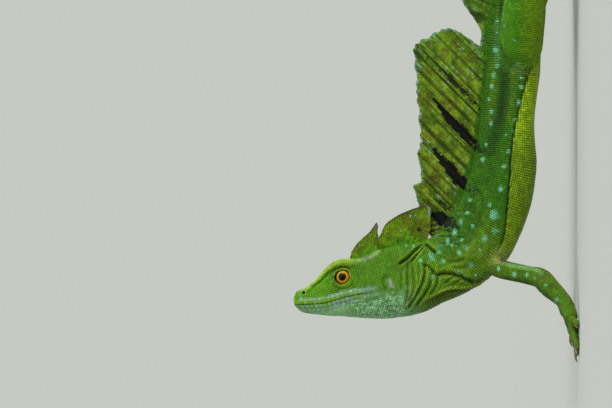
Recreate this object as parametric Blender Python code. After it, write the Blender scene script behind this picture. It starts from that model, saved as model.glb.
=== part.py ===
"""Green basilisk, a life-size male standing on the floor with its neck raised.

The head is towards -X, the animal's left side towards -Y and the floor is z = 0. Sizes and places in
this file are millimetres, and put() turns them into metres when a piece becomes an object.
The body is one smooth tube along a mid line, from the snout to the tail's tip, parted by thin cuts.
Limbs and crests grow out of that tube and are trimmed by it, with a thin gap all round.
"""

import math

import bmesh
import bpy
from mathutils import Matrix, Vector

MM = 0.001
GAP = 0.3
FLOOR_PRESS = 0.25
PLACE = Vector((-162.6, 8.3, 0.0))

# The mid line of the head and trunk in the upright middle plane: distance from the snout, x and z.
HEAD_LENGTH = 60.0
MID_LINE = [
    (0.0, -19.5, 140.5),
    (30.0, -14.1, 111.0),
    (HEAD_LENGTH, -8.7, 81.5),
    (68.0, -7.0, 73.7),
    (83.0, -0.5, 60.3),
    (98.0, 9.8, 50.2),
    (113.0, 22.8, 43.0),
    (128.0, 37.0, 38.0),
    (143.5, 52.0, 34.5),
    (172.0, 80.5, 32.5),
    (202.0, 110.4, 31.0),
    (217.0, 125.2, 28.0),
]
TAIL_START = 217.0
TAIL_END = 700.0
# How high the tail's middle is while it comes down to the floor, and which way it heads, in degrees
# from straight back, positive to the right.
TAIL_DROP = [(217.0, 28.0), (232.0, 22.3), (250.0, 16.0), (270.0, 11.0), (290.0, 8.2), (310.0, 6.0), (700.0, 0.0)]
TAIL_HEADING = [
    (217.0, 0.0),
    (275.0, 10.0),
    (345.0, 50.0),
    (415.0, 30.0),
    (485.0, -45.0),
    (555.0, -100.0),
    (630.0, -110.0),
    (700.0, -60.0),
]

# Sections of the head: distance from the snout, height of the roof, depth of the throat, then the brow
# ridge, the cheek and the jaw's lower corner, each as half width and height.
HEAD_SECTIONS = [
    (0.0, 2.3, 3.4, 1.8, 1.3, 2.6, -0.5, 2.0, -2.5),
    (1.5, 4.3, 5.6, 3.0, 3.3, 4.4, -0.6, 3.5, -4.3),
    (6.0, 5.2, 7.7, 4.2, 4.4, 5.9, -1.2, 4.7, -6.0),
    (10.0, 7.1, 8.9, 4.9, 6.2, 6.9, -1.5, 5.7, -7.0),
    (14.5, 9.9, 10.2, 5.8, 9.1, 8.0, -1.8, 6.7, -8.0),
    (18.0, 12.6, 11.1, 7.0, 11.9, 9.0, -1.5, 7.4, -8.8),
    (22.0, 14.8, 11.9, 8.4, 14.3, 10.3, -0.5, 8.2, -9.5),
    (26.0, 15.6, 13.0, 8.8, 15.1, 11.2, 0.5, 9.0, -10.3),
    (31.0, 15.5, 14.3, 8.0, 14.0, 12.0, 0.5, 9.8, -11.3),
    (36.0, 15.7, 15.5, 6.4, 13.5, 12.8, 0.0, 10.6, -12.2),
    (41.0, 16.9, 16.5, 5.5, 14.2, 13.4, -1.0, 11.2, -13.0),
    (46.0, 17.7, 17.2, 5.1, 14.6, 13.6, -2.0, 11.3, -13.6),
    (56.0, 18.6, 17.7, 5.2, 15.2, 12.4, -2.0, 10.2, -14.0),
]
# Sections of the neck, trunk and tail: distance, height of the back, depth of the belly, half width.
BODY_SECTIONS = [
    (68.0, 17.0, 16.6, 11.4),
    (83.0, 17.5, 17.0, 12.0),
    (98.0, 18.4, 18.0, 13.2),
    (113.0, 17.2, 17.5, 13.0),
    (128.0, 16.5, 16.9, 13.0),
    (143.0, 15.8, 14.9, 13.4),
    (158.0, 15.0, 12.4, 13.2),
    (172.0, 14.0, 12.5, 12.6),
    (187.0, 12.9, 13.9, 11.6),
    (202.0, 12.6, 13.2, 11.2),
    (217.0, 11.6, 11.6, 10.0),
    (240.0, 10.0, 9.8, 8.4),
    (270.0, 8.4, 8.2, 6.9),
    (310.0, 7.0, 6.8, 5.8),
    (350.0, 5.9, 5.7, 4.9),
    (400.0, 4.8, 4.7, 4.1),
    (450.0, 4.0, 3.9, 3.5),
    (500.0, 3.2, 3.1, 2.9),
    (550.0, 2.6, 2.5, 2.4),
    (600.0, 2.1, 2.0, 1.9),
    (650.0, 1.6, 1.5, 1.5),
    (700.0, 1.0, 0.9, 0.9),
]
# Where the back's shoulder, the flank and the belly's corner lie, as shares of half width and height.
BACK_SHOULDER = (0.50, 0.80)
FLANK_HEIGHT = -0.13
BELLY_CORNER = (0.77, -0.77)

# The lengths that the body is parted into: node, first and last distance, step between rings,
# points between two of a section's eight corners.
LENGTHS = [
    ("head", 0.0, 56.0, 2.8, 4),
    ("neck", 56.0, 88.0, 4.0, 3),
    ("chest", 88.0, 130.0, 4.2, 3),
    ("belly", 130.0, 190.0, 5.0, 3),
    ("hips", 190.0, 218.0, 4.0, 3),
    ("tail_base", 218.0, 290.0, 6.0, 2),
    ("tail_front", 290.0, 370.0, 8.0, 2),
    ("tail_middle", 370.0, 460.0, 9.0, 2),
    ("tail_rear", 460.0, 570.0, 10.0, 1),
    ("tail_tip", 570.0, 700.0, 10.0, 1),
]

# The side view of the head is drawn as (distance from the snout, height).
EYE = (26.9, 7.25)
EYE_RADIUS = 4.2
EYE_CENTRE_WIDTH = 7.3
LID_RADIUS = 3.75
LID_THICKNESS = 0.85
NOSTRIL = (5.0, 3.3)
NOSTRIL_RADIUS = 0.65
EAR = (47.4, 1.4)
EAR_CUP = (2.0, 3.4, 1.0)
MOUTH_LINE = [(-3.0, -1.6), (7.8, -3.0), (14.8, -3.6), (20.0, -3.2), (25.2, -2.6), (30.3, -2.3), (36.0, -2.2)]
JAW_BACK = [(38.0, -5.0), (43.0, -22.0), (-3.0, -22.0)]
LIP_RISE = 0.75
LIP_RADIUS = 0.55
LIP_ENDS = (3.0, 35.0)

# The two crests of the head, each as the foot of a ray and its tip, from the front.
FRONT_CREST = [
    ((30.6, 14.0), (31.2, 16.6)),
    ((32.4, 14.0), (33.0, 19.6)),
    ((34.4, 14.0), (35.6, 22.4)),
    ((36.6, 14.0), (39.4, 24.9)),
    ((38.8, 14.4), (43.3, 27.4)),
    ((41.0, 14.8), (47.5, 31.2)),
    ((42.4, 15.2), (46.9, 26.0)),
    ((43.4, 15.4), (45.2, 20.6)),
]
REAR_CREST = [
    ((45.4, 15.6), (46.1, 20.6)),
    ((47.2, 15.6), (48.4, 25.0)),
    ((49.4, 16.0), (51.4, 29.2)),
    ((52.4, 16.4), (56.6, 32.1)),
    ((55.6, 16.6), (62.6, 33.9)),
    ((59.0, 16.6), (69.2, 35.0)),
    ((62.4, 16.2), (75.3, 34.7)),
    ((64.8, 16.0), (74.8, 29.6)),
    ((66.8, 15.6), (73.4, 23.6)),
    ((68.4, 15.2), (70.8, 18.6)),
]
# The rear crest leans to the left and the front of the sail to the right, so that they pass each other.
REAR_CREST_BEND = -1.8
SAIL_FRONT_BEND = [(91.0, 1.5), (100.0, 1.4), (112.0, 0.0), (194.0, 0.0)]
CREST_FOOT_THICKNESS = 1.0
CREST_EDGE_THICKNESS = 0.32

# The sail on the back and the one on the tail: distance of a ray's foot and the ray's length.
BACK_SAIL = [
    (91.0, 4.0),
    (92.2, 12.5),
    (94.0, 18.5),
    (97.0, 22.5),
    (100.0, 24.2),
    (103.0, 22.6),
    (106.5, 23.0),
    (110.0, 26.0),
    (114.0, 29.9),
    (120.0, 31.8),
    (126.0, 34.2),
    (134.0, 38.8),
    (142.0, 42.4),
    (150.0, 44.6),
    (157.0, 46.8),
    (161.0, 48.4),
    (163.0, 48.8),
    (165.0, 47.2),
    (170.0, 43.5),
    (175.0, 39.5),
    (180.0, 35.0),
    (185.0, 29.8),
    (189.0, 23.0),
    (190.5, 16.5),
    (192.0, 8.5),
    (193.5, 4.2),
]
BACK_SAIL_RAYS = 19
BACK_SAIL_LEAN = 45.0
TAIL_SAIL = [
    (198.5, 3.0),
    (203.0, 4.6),
    (206.0, 9.0),
    (209.0, 15.0),
    (212.0, 19.8),
    (216.0, 22.8),
    (224.0, 25.0),
    (240.0, 26.5),
    (265.0, 24.5),
    (300.0, 18.5),
    (330.0, 11.8),
    (355.0, 5.8),
    (374.0, 1.6),
]
TAIL_SAIL_RAYS = 20
TAIL_SAIL_LEAN = 14.0
SAIL_ROWS = 4
SAIL_NOTCH = 0.055
SAIL_SINK = 2.5
RAY_THICKNESS = 0.95
WEB_THICKNESS = 0.45
TIP_SHARE = 0.42

# Limbs: the joints' places on the left side, and half thicknesses along the limb.
ARM_JOINTS = {
    "left": [(2.5, -4.0, 47.0), (-2.6, -11.0, 40.0), (-7.2, -25.0, 18.2), (-19.3, -31.5, 6.2), (-28.0, -34.5, 3.3)],
    "right": [(2.5, 4.0, 47.0), (-2.2, 11.0, 40.0), (-8.6, 27.0, 17.6), (-20.5, 36.0, 6.2), (-28.0, 41.5, 3.3)],
}
ARM_THICKNESS = [(5.0, 5.0), (4.2, 4.2), (4.8, 4.7), (3.7, 3.4), (5.0, 3.4)]
ARM_NODES = ("upper_arm", "forearm", "hand")
LEG_JOINTS = {
    "left": [(100.0, 1.0, 29.0), (108.0, -7.0, 28.0), (145.0, -32.0, 22.0), (171.0, -58.0, 6.8), (184.0, -67.0, 3.6)],
    "right": [(100.0, -1.0, 29.0), (108.0, 7.0, 28.0), (139.0, 36.0, 22.0), (157.0, 66.0, 6.8), (165.0, 79.5, 3.6)],
}
LEG_THICKNESS = [(10.0, 10.0), (11.0, 11.0), (6.6, 6.8), (4.3, 4.0), (5.8, 3.7)]
LEG_NODES = ("thigh", "shin", "foot")
LIMB_STEP = 4.0
LIMB_SIDES = 12

# Fingers and toes, from the inner one: how far each is turned from the foot's own direction, in
# degrees, and its length without the claw.
FINGERS = [(-52.0, 8.5), (-24.0, 13.0), (0.0, 16.5), (22.0, 17.0), (56.0, 11.5)]
TOES = [(-46.0, 10.5), (-22.0, 17.0), (-3.0, 25.0), (15.0, 34.0), (48.0, 18.0)]
HAND_TURN = {"left": 18.0, "right": 34.0}
FOOT_TURN = {"left": 145.0, "right": 120.0}
FINGER_RADIUS = (1.75, 1.15)
TOE_RADIUS = (2.2, 1.25)
DIGIT_SIDES = 6
CLAW_LENGTH = 3.4
CLAW_RADIUS = 0.75

GREEN = (0.11, 0.27, 0.015)
CREST_GREEN = (0.16, 0.22, 0.02)
JAW_GREEN = (0.20, 0.36, 0.16)
EYE_ORANGE = (0.80, 0.33, 0.03)


def clear_scene():
    for thing in list(bpy.data.objects):
        bpy.data.objects.remove(thing)


def along(rows, distance):
    """The values of a table's rows at a distance, on a smooth curve through the rows."""
    distance = min(max(distance, rows[0][0]), rows[-1][0])
    i = 0
    while i < len(rows) - 2 and rows[i + 1][0] < distance:
        i += 1
    before, a, b, after = rows[max(i - 1, 0)], rows[i], rows[i + 1], rows[min(i + 2, len(rows) - 1)]
    span = b[0] - a[0]
    t = (distance - a[0]) / span
    values = []
    for k in range(1, len(a)):
        slope_a = (b[k] - before[k]) / (b[0] - before[0]) * span
        slope_b = (after[k] - a[k]) / (after[0] - a[0]) * span
        values.append(
            a[k] * (2 * t**3 - 3 * t**2 + 1)
            + slope_a * (t**3 - 2 * t**2 + t)
            + b[k] * (3 * t**2 - 2 * t**3)
            + slope_b * (t**3 - t**2)
        )
    return values


def belly_depth(distance):
    return along(BODY_SECTIONS, distance)[1]


def mid_points():
    """The mid line as a point every millimetre: the head and trunk's curve, then the tail, which turns
    on the floor by its heading and comes down to lie on it."""
    points = []
    for distance in range(int(TAIL_START) + 1):
        x, z = along(MID_LINE, float(distance))
        points.append(Vector((x, 0.0, z)))
    for distance in range(int(TAIL_START) + 1, int(TAIL_END) + 1):
        last = points[-1]
        z = max(along(TAIL_DROP, float(distance))[0], belly_depth(distance) - FLOOR_PRESS)
        level = math.sqrt(max(1.0 - (z - last.z) ** 2, 0.0))
        heading = math.radians(along(TAIL_HEADING, float(distance))[0])
        points.append(Vector((last.x + level * math.cos(heading), last.y + level * math.sin(heading), z)))
    return points


MID_POINTS = mid_points()


def mid_point(distance):
    i = min(int(distance), len(MID_POINTS) - 2)
    return MID_POINTS[i].lerp(MID_POINTS[i + 1], distance - i)


def body_frame(distance):
    """The mid line's place, and its directions to the tail, to the back and to the right."""
    reach = 2.0
    low, high = max(distance - reach, 0.0), min(distance + reach, TAIL_END)
    tailward = (mid_point(high) - mid_point(low)).normalized()
    right = Vector((-tailward.y, tailward.x, 0.0)).normalized()
    backward = tailward.cross(right)
    return mid_point(distance), tailward, backward, right


def section_corners(distance):
    """The eight corners of a section, as half width and height, from the back's middle round the right."""
    if distance <= HEAD_SECTIONS[-1][0]:
        roof, throat, *sides = along(HEAD_SECTIONS, distance)
    else:
        first = HEAD_SECTIONS[-1]
        rows = [(first[0], first[1], first[2], first[5])] + BODY_SECTIONS
        roof, throat, width = along(rows, distance)
        sides = [
            BACK_SHOULDER[0] * width,
            BACK_SHOULDER[1] * roof,
            width,
            FLANK_HEIGHT * throat,
            BELLY_CORNER[0] * width,
            BELLY_CORNER[1] * throat,
        ]
    right = [(sides[0], sides[1]), (sides[2], sides[3]), (sides[4], sides[5])]
    left = [(-w, h) for w, h in reversed(right)]
    return [(0.0, roof)] + right + [(0.0, -throat)] + left


def section(distance, between, grow=0.0):
    """A smooth closed section through its corners, made larger all round by grow."""
    corners = [Vector(corner) for corner in section_corners(distance)]
    count = len(corners)
    outline = []
    for i in range(count):
        p0, p1, p2, p3 = (corners[(i + k - 1) % count] for k in range(4))
        for j in range(between):
            t = j / between
            outline.append(
                0.5
                * (
                    2 * p1
                    + (p2 - p0) * t
                    + (2 * p0 - 5 * p1 + 4 * p2 - p3) * t**2
                    + (3 * p1 - p0 - 3 * p2 + p3) * t**3
                )
            )
    if grow:
        total = len(outline)
        grown = []
        for i, point in enumerate(outline):
            run = outline[(i + 1) % total] - outline[i - 1]
            grown.append(point + Vector((-run.y, run.x)).normalized() * grow)
        outline = grown
    return outline


def body_ring(distance, between, grow=0.0):
    centre, _, backward, right = body_frame(distance)
    return [centre + right * point.x + backward * point.y for point in section(distance, between, grow)]


def side_point(distance, height, side):
    """The point of the skin at a height of the side view, on the right (1) or left (-1)."""
    outline = section(distance, 8)
    half = outline[: len(outline) // 2 + 1]
    width = 0.0
    for upper, lower in zip(half, half[1:]):
        if lower.y <= height <= upper.y:
            share = (upper.y - height) / max(upper.y - lower.y, 1e-6)
            width = upper.x + (lower.x - upper.x) * share
    centre, _, backward, right = body_frame(distance)
    return centre + right * (width * side) + backward * height


def head_place(distance, height, width=0.0):
    """A place in the head's own straight frame, which runs on past the head for its crests."""
    centre, tailward, backward, right = body_frame(HEAD_LENGTH / 2)
    return centre + tailward * (distance - HEAD_LENGTH / 2) + backward * height + right * width


def stations(first, last, step):
    count = max(2, round((last - first) / step))
    return [first + (last - first) * i / count for i in range(count + 1)]


def loft(rings):
    """A closed body through rings of equally many points, each ring extruded from the one before."""
    body = bmesh.new()
    ring = [body.verts.new(point) for point in rings[0]]
    edges = [body.edges.new((ring[i - 1], ring[i])) for i in range(len(ring))]
    bmesh.ops.contextual_create(body, geom=edges)
    for points in rings[1:]:
        made = bmesh.ops.extrude_edge_only(body, edges=edges)["geom"]
        fresh = {item for item in made if isinstance(item, bmesh.types.BMVert)}
        following = []
        for vert in ring:
            following.append(next(e.other_vert(vert) for e in vert.link_edges if e.other_vert(vert) in fresh))
        for vert, point in zip(following, points):
            vert.co = point
        ring = following
        edges = [item for item in made if isinstance(item, bmesh.types.BMEdge) and set(item.verts) <= fresh]
    bmesh.ops.contextual_create(body, geom=edges)
    bmesh.ops.recalc_face_normals(body, faces=body.faces)
    return body


def put(name, shape, colour=GREEN, roughness=0.6):
    """Turns a finished shape into an object of that name, in metres and in its place."""
    bmesh.ops.transform(shape, matrix=Matrix.Scale(MM, 4) @ Matrix.Translation(PLACE), verts=shape.verts)
    data = bpy.data.meshes.new(name)
    shape.to_mesh(data)
    shape.free()
    thing = bpy.data.objects.new(name, data)
    bpy.context.scene.collection.objects.link(thing)
    data.shade_smooth()
    data.set_sharp_from_angle(angle=math.radians(50))
    paint = bpy.data.materials.new(name)
    paint.use_nodes = True
    finish = paint.node_tree.nodes["Principled BSDF"]
    finish.inputs["Base Color"].default_value = (*colour, 1.0)
    finish.inputs["Roughness"].default_value = roughness
    finish.inputs["Metallic"].default_value = 0.0
    data.materials.append(paint)
    return thing


def scratch(shape):
    """A shape as an object for a Boolean, still in millimetres."""
    data = bpy.data.meshes.new("scratch")
    shape.to_mesh(data)
    shape.free()
    thing = bpy.data.objects.new("scratch", data)
    bpy.context.scene.collection.objects.link(thing)
    return thing


def combine(shape, others, operation, solver="EXACT"):
    """One Boolean of a shape with a collection of closed shapes, applied, of which the largest body
    stays."""
    thing = scratch(shape)
    group = bpy.data.collections.new("others")
    bpy.context.scene.collection.children.link(group)
    helpers = [scratch(other) for other in others]
    for helper in helpers:
        bpy.context.scene.collection.objects.unlink(helper)
        group.objects.link(helper)
    boolean = thing.modifiers.new("combine", "BOOLEAN")
    boolean.operand_type = "COLLECTION"
    boolean.collection = group
    boolean.operation = operation
    boolean.solver = solver
    graph = bpy.context.evaluated_depsgraph_get()
    result = bmesh.new()
    result.from_mesh(thing.evaluated_get(graph).to_mesh())
    for helper in helpers + [thing]:
        bpy.data.objects.remove(helper)
    bpy.data.collections.remove(group)
    return largest_body(result)


def largest_body(shape):
    """Keeps the closed surface with the greatest volume, and drops loose scraps."""
    left = set(shape.faces)
    bodies = []
    while left:
        body = set()
        reached = [next(iter(left))]
        while reached:
            face = reached.pop()
            if face in body:
                continue
            body.add(face)
            reached.extend(other for edge in face.edges for other in edge.link_faces if other not in body)
        left -= body
        bodies.append(body)
    bodies.sort(key=lambda body: sum(face.calc_area() for face in body))
    for body in bodies[:-1]:
        bmesh.ops.delete(shape, geom=list(body), context="FACES")
    loose = [vert for vert in shape.verts if not vert.link_faces]
    bmesh.ops.delete(shape, geom=loose, context="VERTS")
    bmesh.ops.remove_doubles(shape, verts=shape.verts, dist=0.002)
    bmesh.ops.recalc_face_normals(shape, faces=shape.faces)
    return shape


def cut_at_floor(shape):
    """Cuts a shape flat where it would pass through the floor, so that it rests on that flat."""
    everything = list(shape.verts) + list(shape.edges) + list(shape.faces)
    bmesh.ops.bisect_plane(shape, geom=everything, plane_co=(0, 0, 0), plane_no=(0, 0, 1), clear_inner=True)
    rim = [edge for edge in shape.edges if edge.is_boundary]
    bmesh.ops.holes_fill(shape, edges=rim, sides=0)
    bmesh.ops.recalc_face_normals(shape, faces=shape.faces)
    return shape


def body_length(first, last, step, between):
    """One length of the body, short of its neighbours by half the gap at each end."""
    start = first + GAP / 2 if first > 0.0 else first
    end = last - GAP / 2 if last < TAIL_END else last
    return loft([body_ring(distance, between) for distance in stations(start, end, step)])


def body_cutter():
    """The body as far as the middle of the tail, larger by the gap all round, which trims what grows out
    of it."""
    places = []
    for _, first, last, step, _ in LENGTHS[:8]:
        places += stations(first, last, step)[:-1]
    return loft([body_ring(distance, 3, GAP) for distance in places])


def ellipsoid(centre, radii, directions, detail=14):
    """A rounded body with its three radii along three directions."""
    shape = bmesh.new()
    bmesh.ops.create_uvsphere(shape, u_segments=detail, v_segments=detail // 2 + 1, radius=1.0)
    turn = Matrix([direction * radius for direction, radius in zip(directions, radii)]).transposed().to_4x4()
    bmesh.ops.transform(shape, matrix=Matrix.Translation(centre) @ turn, verts=shape.verts)
    bmesh.ops.recalc_face_normals(shape, faces=shape.faces)
    return shape


def eye_frame(side):
    """The eye's centre and the direction that it looks in, sideways and a little forwards and up."""
    _, tailward, backward, right = body_frame(EYE[0])
    centre = head_place(EYE[0], EYE[1], EYE_CENTRE_WIDTH * side)
    look = (right * side + backward * 0.13 - tailward * 0.16).normalized()
    return centre, look


def eye_ball(side, radius):
    centre, look = eye_frame(side)
    _, _, backward, _ = body_frame(EYE[0])
    across = look.cross(backward).normalized()
    return ellipsoid(centre, (radius, radius, radius), (across, look.cross(across), look), 18)


def tube(points, radii, sides):
    """A closed tube through points, with a radius, or a width and a height, at each."""
    rings = []
    for i, point in enumerate(points):
        run = (points[min(i + 1, len(points) - 1)] - points[max(i - 1, 0)]).normalized()
        level = run.cross(Vector((0, 0, 1)))
        level = level.normalized() if level.length > 1e-4 else Vector((0, 1, 0))
        rise = level.cross(run)
        wide, tall = radii[i] if isinstance(radii[i], tuple) else (radii[i], radii[i])
        ring = []
        for k in range(sides):
            angle = 2 * math.pi * k / sides
            ring.append(point + level * (wide * math.cos(angle)) + rise * (tall * math.sin(angle)))
        rings.append(ring)
    return loft(rings)


def lid_ring(side):
    """The rim of the eyelids, a ring round the eye that stands a little proud of the cheek."""
    centre, look = eye_frame(side)
    _, _, backward, _ = body_frame(EYE[0])
    across = look.cross(backward).normalized()
    upward = across.cross(look)
    lift = math.sqrt((EYE_RADIUS + GAP) ** 2 - LID_RADIUS**2) + 0.35
    shape = bmesh.new()
    profile = []
    for k in range(6):
        angle = 2 * math.pi * k / 6
        spot = Vector((LID_RADIUS + 0.95 + LID_THICKNESS * math.cos(angle), 0, LID_THICKNESS * math.sin(angle)))
        profile.append(shape.verts.new(spot))
    rim = [shape.edges.new((profile[k - 1], profile[k])) for k in range(6)]
    bmesh.ops.spin(
        shape, geom=profile + rim, cent=(0, 0, 0), axis=(0, 0, 1), angle=2 * math.pi, steps=18, use_merge=True
    )
    bmesh.ops.remove_doubles(shape, verts=shape.verts, dist=0.001)
    turn = Matrix((across, upward, look)).transposed().to_4x4()
    bmesh.ops.transform(shape, matrix=Matrix.Translation(centre + look * lift) @ turn, verts=shape.verts)
    bmesh.ops.recalc_face_normals(shape, faces=shape.faces)
    return shape


def lip(side, rise):
    """A thin raised edge along the mouth, above it (rise > 0) or below it."""
    points = []
    for distance in stations(LIP_ENDS[0], LIP_ENDS[1], 4.0):
        height = along(MOUTH_LINE, distance)[0] + rise
        points.append(side_point(distance, height, side))
    radii = [LIP_RADIUS] * len(points)
    radii[-1] = LIP_RADIUS * 0.5
    return tube(points, radii, 6)


def jaw_prism(grow):
    """The space of the lower jaw in the side view, as a thick plate across the head."""
    corners = [(distance, height + grow) for distance, height in MOUTH_LINE]
    corners += [(distance + grow, height) for distance, height in JAW_BACK]
    reach = 30.0
    return loft([[head_place(a, h, reach * side) for a, h in corners] for side in (-1, 1)])


def pit(spot, radii, side, depth):
    """A shallow cup in the head's side, such as a nostril or the cup of the ear."""
    centre = side_point(spot[0], spot[1], side)
    _, tailward, backward, right = body_frame(spot[0])
    return ellipsoid(centre, (*radii, depth), (tailward, backward, right * side), 10)


def fin_sheet(feet, tips, foot_half, tip_half, rows, thick_columns=None):
    """A thin upright sheet between feet and tips, in the middle plane's direction, thinner at its edge.
    Both faces have the same triangles. Columns listed as thick are the raised rays."""
    sheet = bmesh.new()
    grid = []
    for foot, tip in zip(feet, tips):
        grid.append([sheet.verts.new(foot.lerp(tip, row / rows)) for row in range(rows + 1)])
    for left, right in zip(grid, grid[1:]):
        for row in range(rows):
            sheet.faces.new((left[row], right[row], right[row + 1], left[row + 1]))
    sheet.verts.index_update()
    half = {}
    for column, line in enumerate(grid):
        share = 1.0 if thick_columns is None or thick_columns[column] else WEB_THICKNESS / RAY_THICKNESS
        for row, vert in enumerate(line):
            half[vert.index] = share * foot_half + (tip_half - share * foot_half) * (row / rows)
    bmesh.ops.triangulate(sheet, faces=sheet.faces)
    sheet.normal_update()
    sheet.verts.ensure_lookup_table()
    across = {}
    for vert in sheet.verts:
        side = vert.normal.copy()
        side.z = 0.0
        across[vert.index] = side.normalized() if side.length > 1e-6 else Vector((0, 1, 0))
    places = {vert.index: vert.co.copy() for vert in sheet.verts}
    count = len(sheet.verts)
    copy = bmesh.ops.duplicate(sheet, geom=list(sheet.verts) + list(sheet.edges) + list(sheet.faces))
    twins = copy["vert_map"]
    originals = [vert for vert in sheet.verts if vert.index < count and vert in twins]
    sheet.verts.index_update()
    for vert in originals:
        index = vert.index
        vert.co = places[index] + across[index] * half[index]
        twins[vert].co = places[index] - across[index] * half[index]
    bmesh.ops.reverse_faces(sheet, faces=[f for f in copy["geom"] if isinstance(f, bmesh.types.BMFace)])
    outline = [edge for edge in sheet.edges if edge.is_boundary]
    bmesh.ops.bridge_loops(sheet, edges=outline)
    bmesh.ops.triangulate(sheet, faces=sheet.faces)
    bmesh.ops.recalc_face_normals(sheet, faces=sheet.faces)
    return sheet


def head_crest(rays, bend):
    """One of the head's crests, from the feet and tips of its rays in the side view. Its edge is bent
    sideways, to the right where bend is positive."""
    feet, tips = [], []
    for i in range(2 * len(rays) - 1):
        low, high = rays[i // 2], rays[(i + 1) // 2]
        share = 0.5 if i % 2 else 0.0
        foot = Vector(low[0]).lerp(Vector(high[0]), share)
        tip = Vector(low[1]).lerp(Vector(high[1]), share)
        feet.append(head_place(foot.x, foot.y))
        tips.append(head_place(tip.x, tip.y, bend))
    return fin_sheet(feet, tips, CREST_FOOT_THICKNESS, CREST_EDGE_THICKNESS, 4)


def sail(lengths, ray_count, lean, level_lean, bends=None):
    """A sail of the back or tail. Its rays lean back by an angle, and its edge is notched between them.
    level_lean counts the angle from upright, and not from the body's own back. bends says how far the
    edge is bent to the right."""
    first, last = lengths[0][0], lengths[-1][0]
    columns = 2 * ray_count + 1
    feet, tips, thick = [], [], []
    for i in range(columns):
        distance = first + (last - first) * i / (columns - 1)
        centre, tailward, backward, right = body_frame(distance)
        roof = section_corners(distance)[0][1]
        foot = centre + backward * (roof - SAIL_SINK)
        bend = right * along(bends, distance)[0] if bends else Vector()
        upright = Vector((0, 0, 1)) if level_lean else backward
        trail = Vector((1, 0, 0)) if level_lean else tailward
        angle = math.radians(lean)
        ray = upright * math.cos(angle) + trail * math.sin(angle)
        is_ray = i % 2 == 1
        length = along(lengths, distance)[0] * (1.0 if is_ray else 1.0 - SAIL_NOTCH)
        feet.append(foot)
        tips.append(foot + ray * (length + SAIL_SINK) + bend)
        thick.append(is_ray)
    return fin_sheet(feet, tips, RAY_THICKNESS, RAY_THICKNESS * TIP_SHARE, SAIL_ROWS, thick)


def smooth_path(joints, sizes, step):
    """Points on a smooth curve through the joints, the sizes there, and how far along each joint is."""
    rows = []
    run = 0.0
    for i, (joint, size) in enumerate(zip(joints, sizes)):
        if i:
            run += (Vector(joint) - Vector(joints[i - 1])).length
        rows.append((run, *joint, *size))
    return rows, stations(0.0, run, step)


def limb_length(rows, first, last):
    """One length of a limb along its curve, short of its neighbours by half the gap at each end."""
    start = first + GAP / 2 if first > 0.0 else first
    places = stations(start, last - GAP / 2, LIMB_STEP)
    values = [along(rows, place) for place in places]
    runs = []
    for place in places:
        ahead = Vector(along(rows, place + 0.5)[:3])
        behind = Vector(along(rows, place - 0.5)[:3])
        runs.append((ahead - behind).normalized())
    rings = []
    for value, run in zip(values, runs):
        centre = Vector(value[:3])
        level = run.cross(Vector((0, 0, 1))).normalized()
        rise = level.cross(run)
        ring = []
        for k in range(LIMB_SIDES):
            angle = 2 * math.pi * k / LIMB_SIDES
            ring.append(centre + level * (value[3] * math.cos(angle)) + rise * (value[4] * math.sin(angle)))
        rings.append(ring)
    return loft(rings)


def toe(root, heading, length, radii):
    """A finger or toe: arched from the knuckle, flat along the floor, ending in a hooked claw."""
    steps = 5
    points, sizes = [], []
    for i in range(steps + 1):
        t = i / steps
        radius = radii[0] + (radii[1] - radii[0]) * t
        arch = 0.9 * math.sin(math.pi * min(t * 1.25, 1.0))
        height = root.z + (radius - FLOOR_PRESS - root.z) * min(t * 1.6, 1.0) + arch
        points.append(Vector((root.x, root.y, 0)) + heading * (length * t) + Vector((0, 0, height)))
        sizes.append((radius, radius))
    flesh = tube(points, sizes, DIGIT_SIDES)
    claw_points, claw_sizes = [], []
    for i in range(4):
        t = i / 3
        reach = length - 1.6 + (CLAW_LENGTH + 1.6) * math.sin(t * 1.35) / math.sin(1.35)
        height = 1.55 + 0.75 * math.sin(t * math.pi) - 1.25 * t
        claw_points.append(Vector((root.x, root.y, 0)) + heading * reach + Vector((0, 0, height)))
        claw_sizes.append(CLAW_RADIUS * (1.0 - 0.8 * t))
    return [flesh, tube(claw_points, claw_sizes, 4)]


def foot_direction(angle, side):
    """A level direction turned outwards by an angle from straight ahead, on the left or right."""
    turn = math.radians(angle)
    return Vector((-math.cos(turn), -math.sin(turn) if side == "left" else math.sin(turn), 0.0))


def foot_pieces(joints, digits, turn, side, radii):
    """The fingers or toes that spread from the front of a palm or sole."""
    palm_end = Vector(joints[-1])
    pieces = []
    for spread, length in digits:
        heading = foot_direction(turn + spread, side)
        ahead = foot_direction(turn, side)
        root = palm_end - ahead * 3.2 + heading * 1.6
        root.z = palm_end.z
        pieces += toe(root, heading, length + 1.6, radii)
    return pieces


def build_limb(side, joints, sizes, nodes, digits, turn, radii, cutter):
    """The three lengths of an arm or leg and its fingers or toes, trimmed where it grows out."""
    rows, _ = smooth_path(joints, sizes, LIMB_STEP)
    bends = [rows[2][0], rows[3][0], rows[4][0]]
    upper = limb_length(rows, 0.0, bends[0])
    put(f"{nodes[0]}_{side}", combine(upper, [cutter()], "DIFFERENCE"))
    put(f"{nodes[1]}_{side}", limb_length(rows, bends[0], bends[1]))
    palm = limb_length(rows, bends[1], bends[2])
    hand = combine(palm, foot_pieces(joints, digits, turn, side, radii), "UNION")
    put(f"{nodes[2]}_{side}", cut_at_floor(hand))


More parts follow.
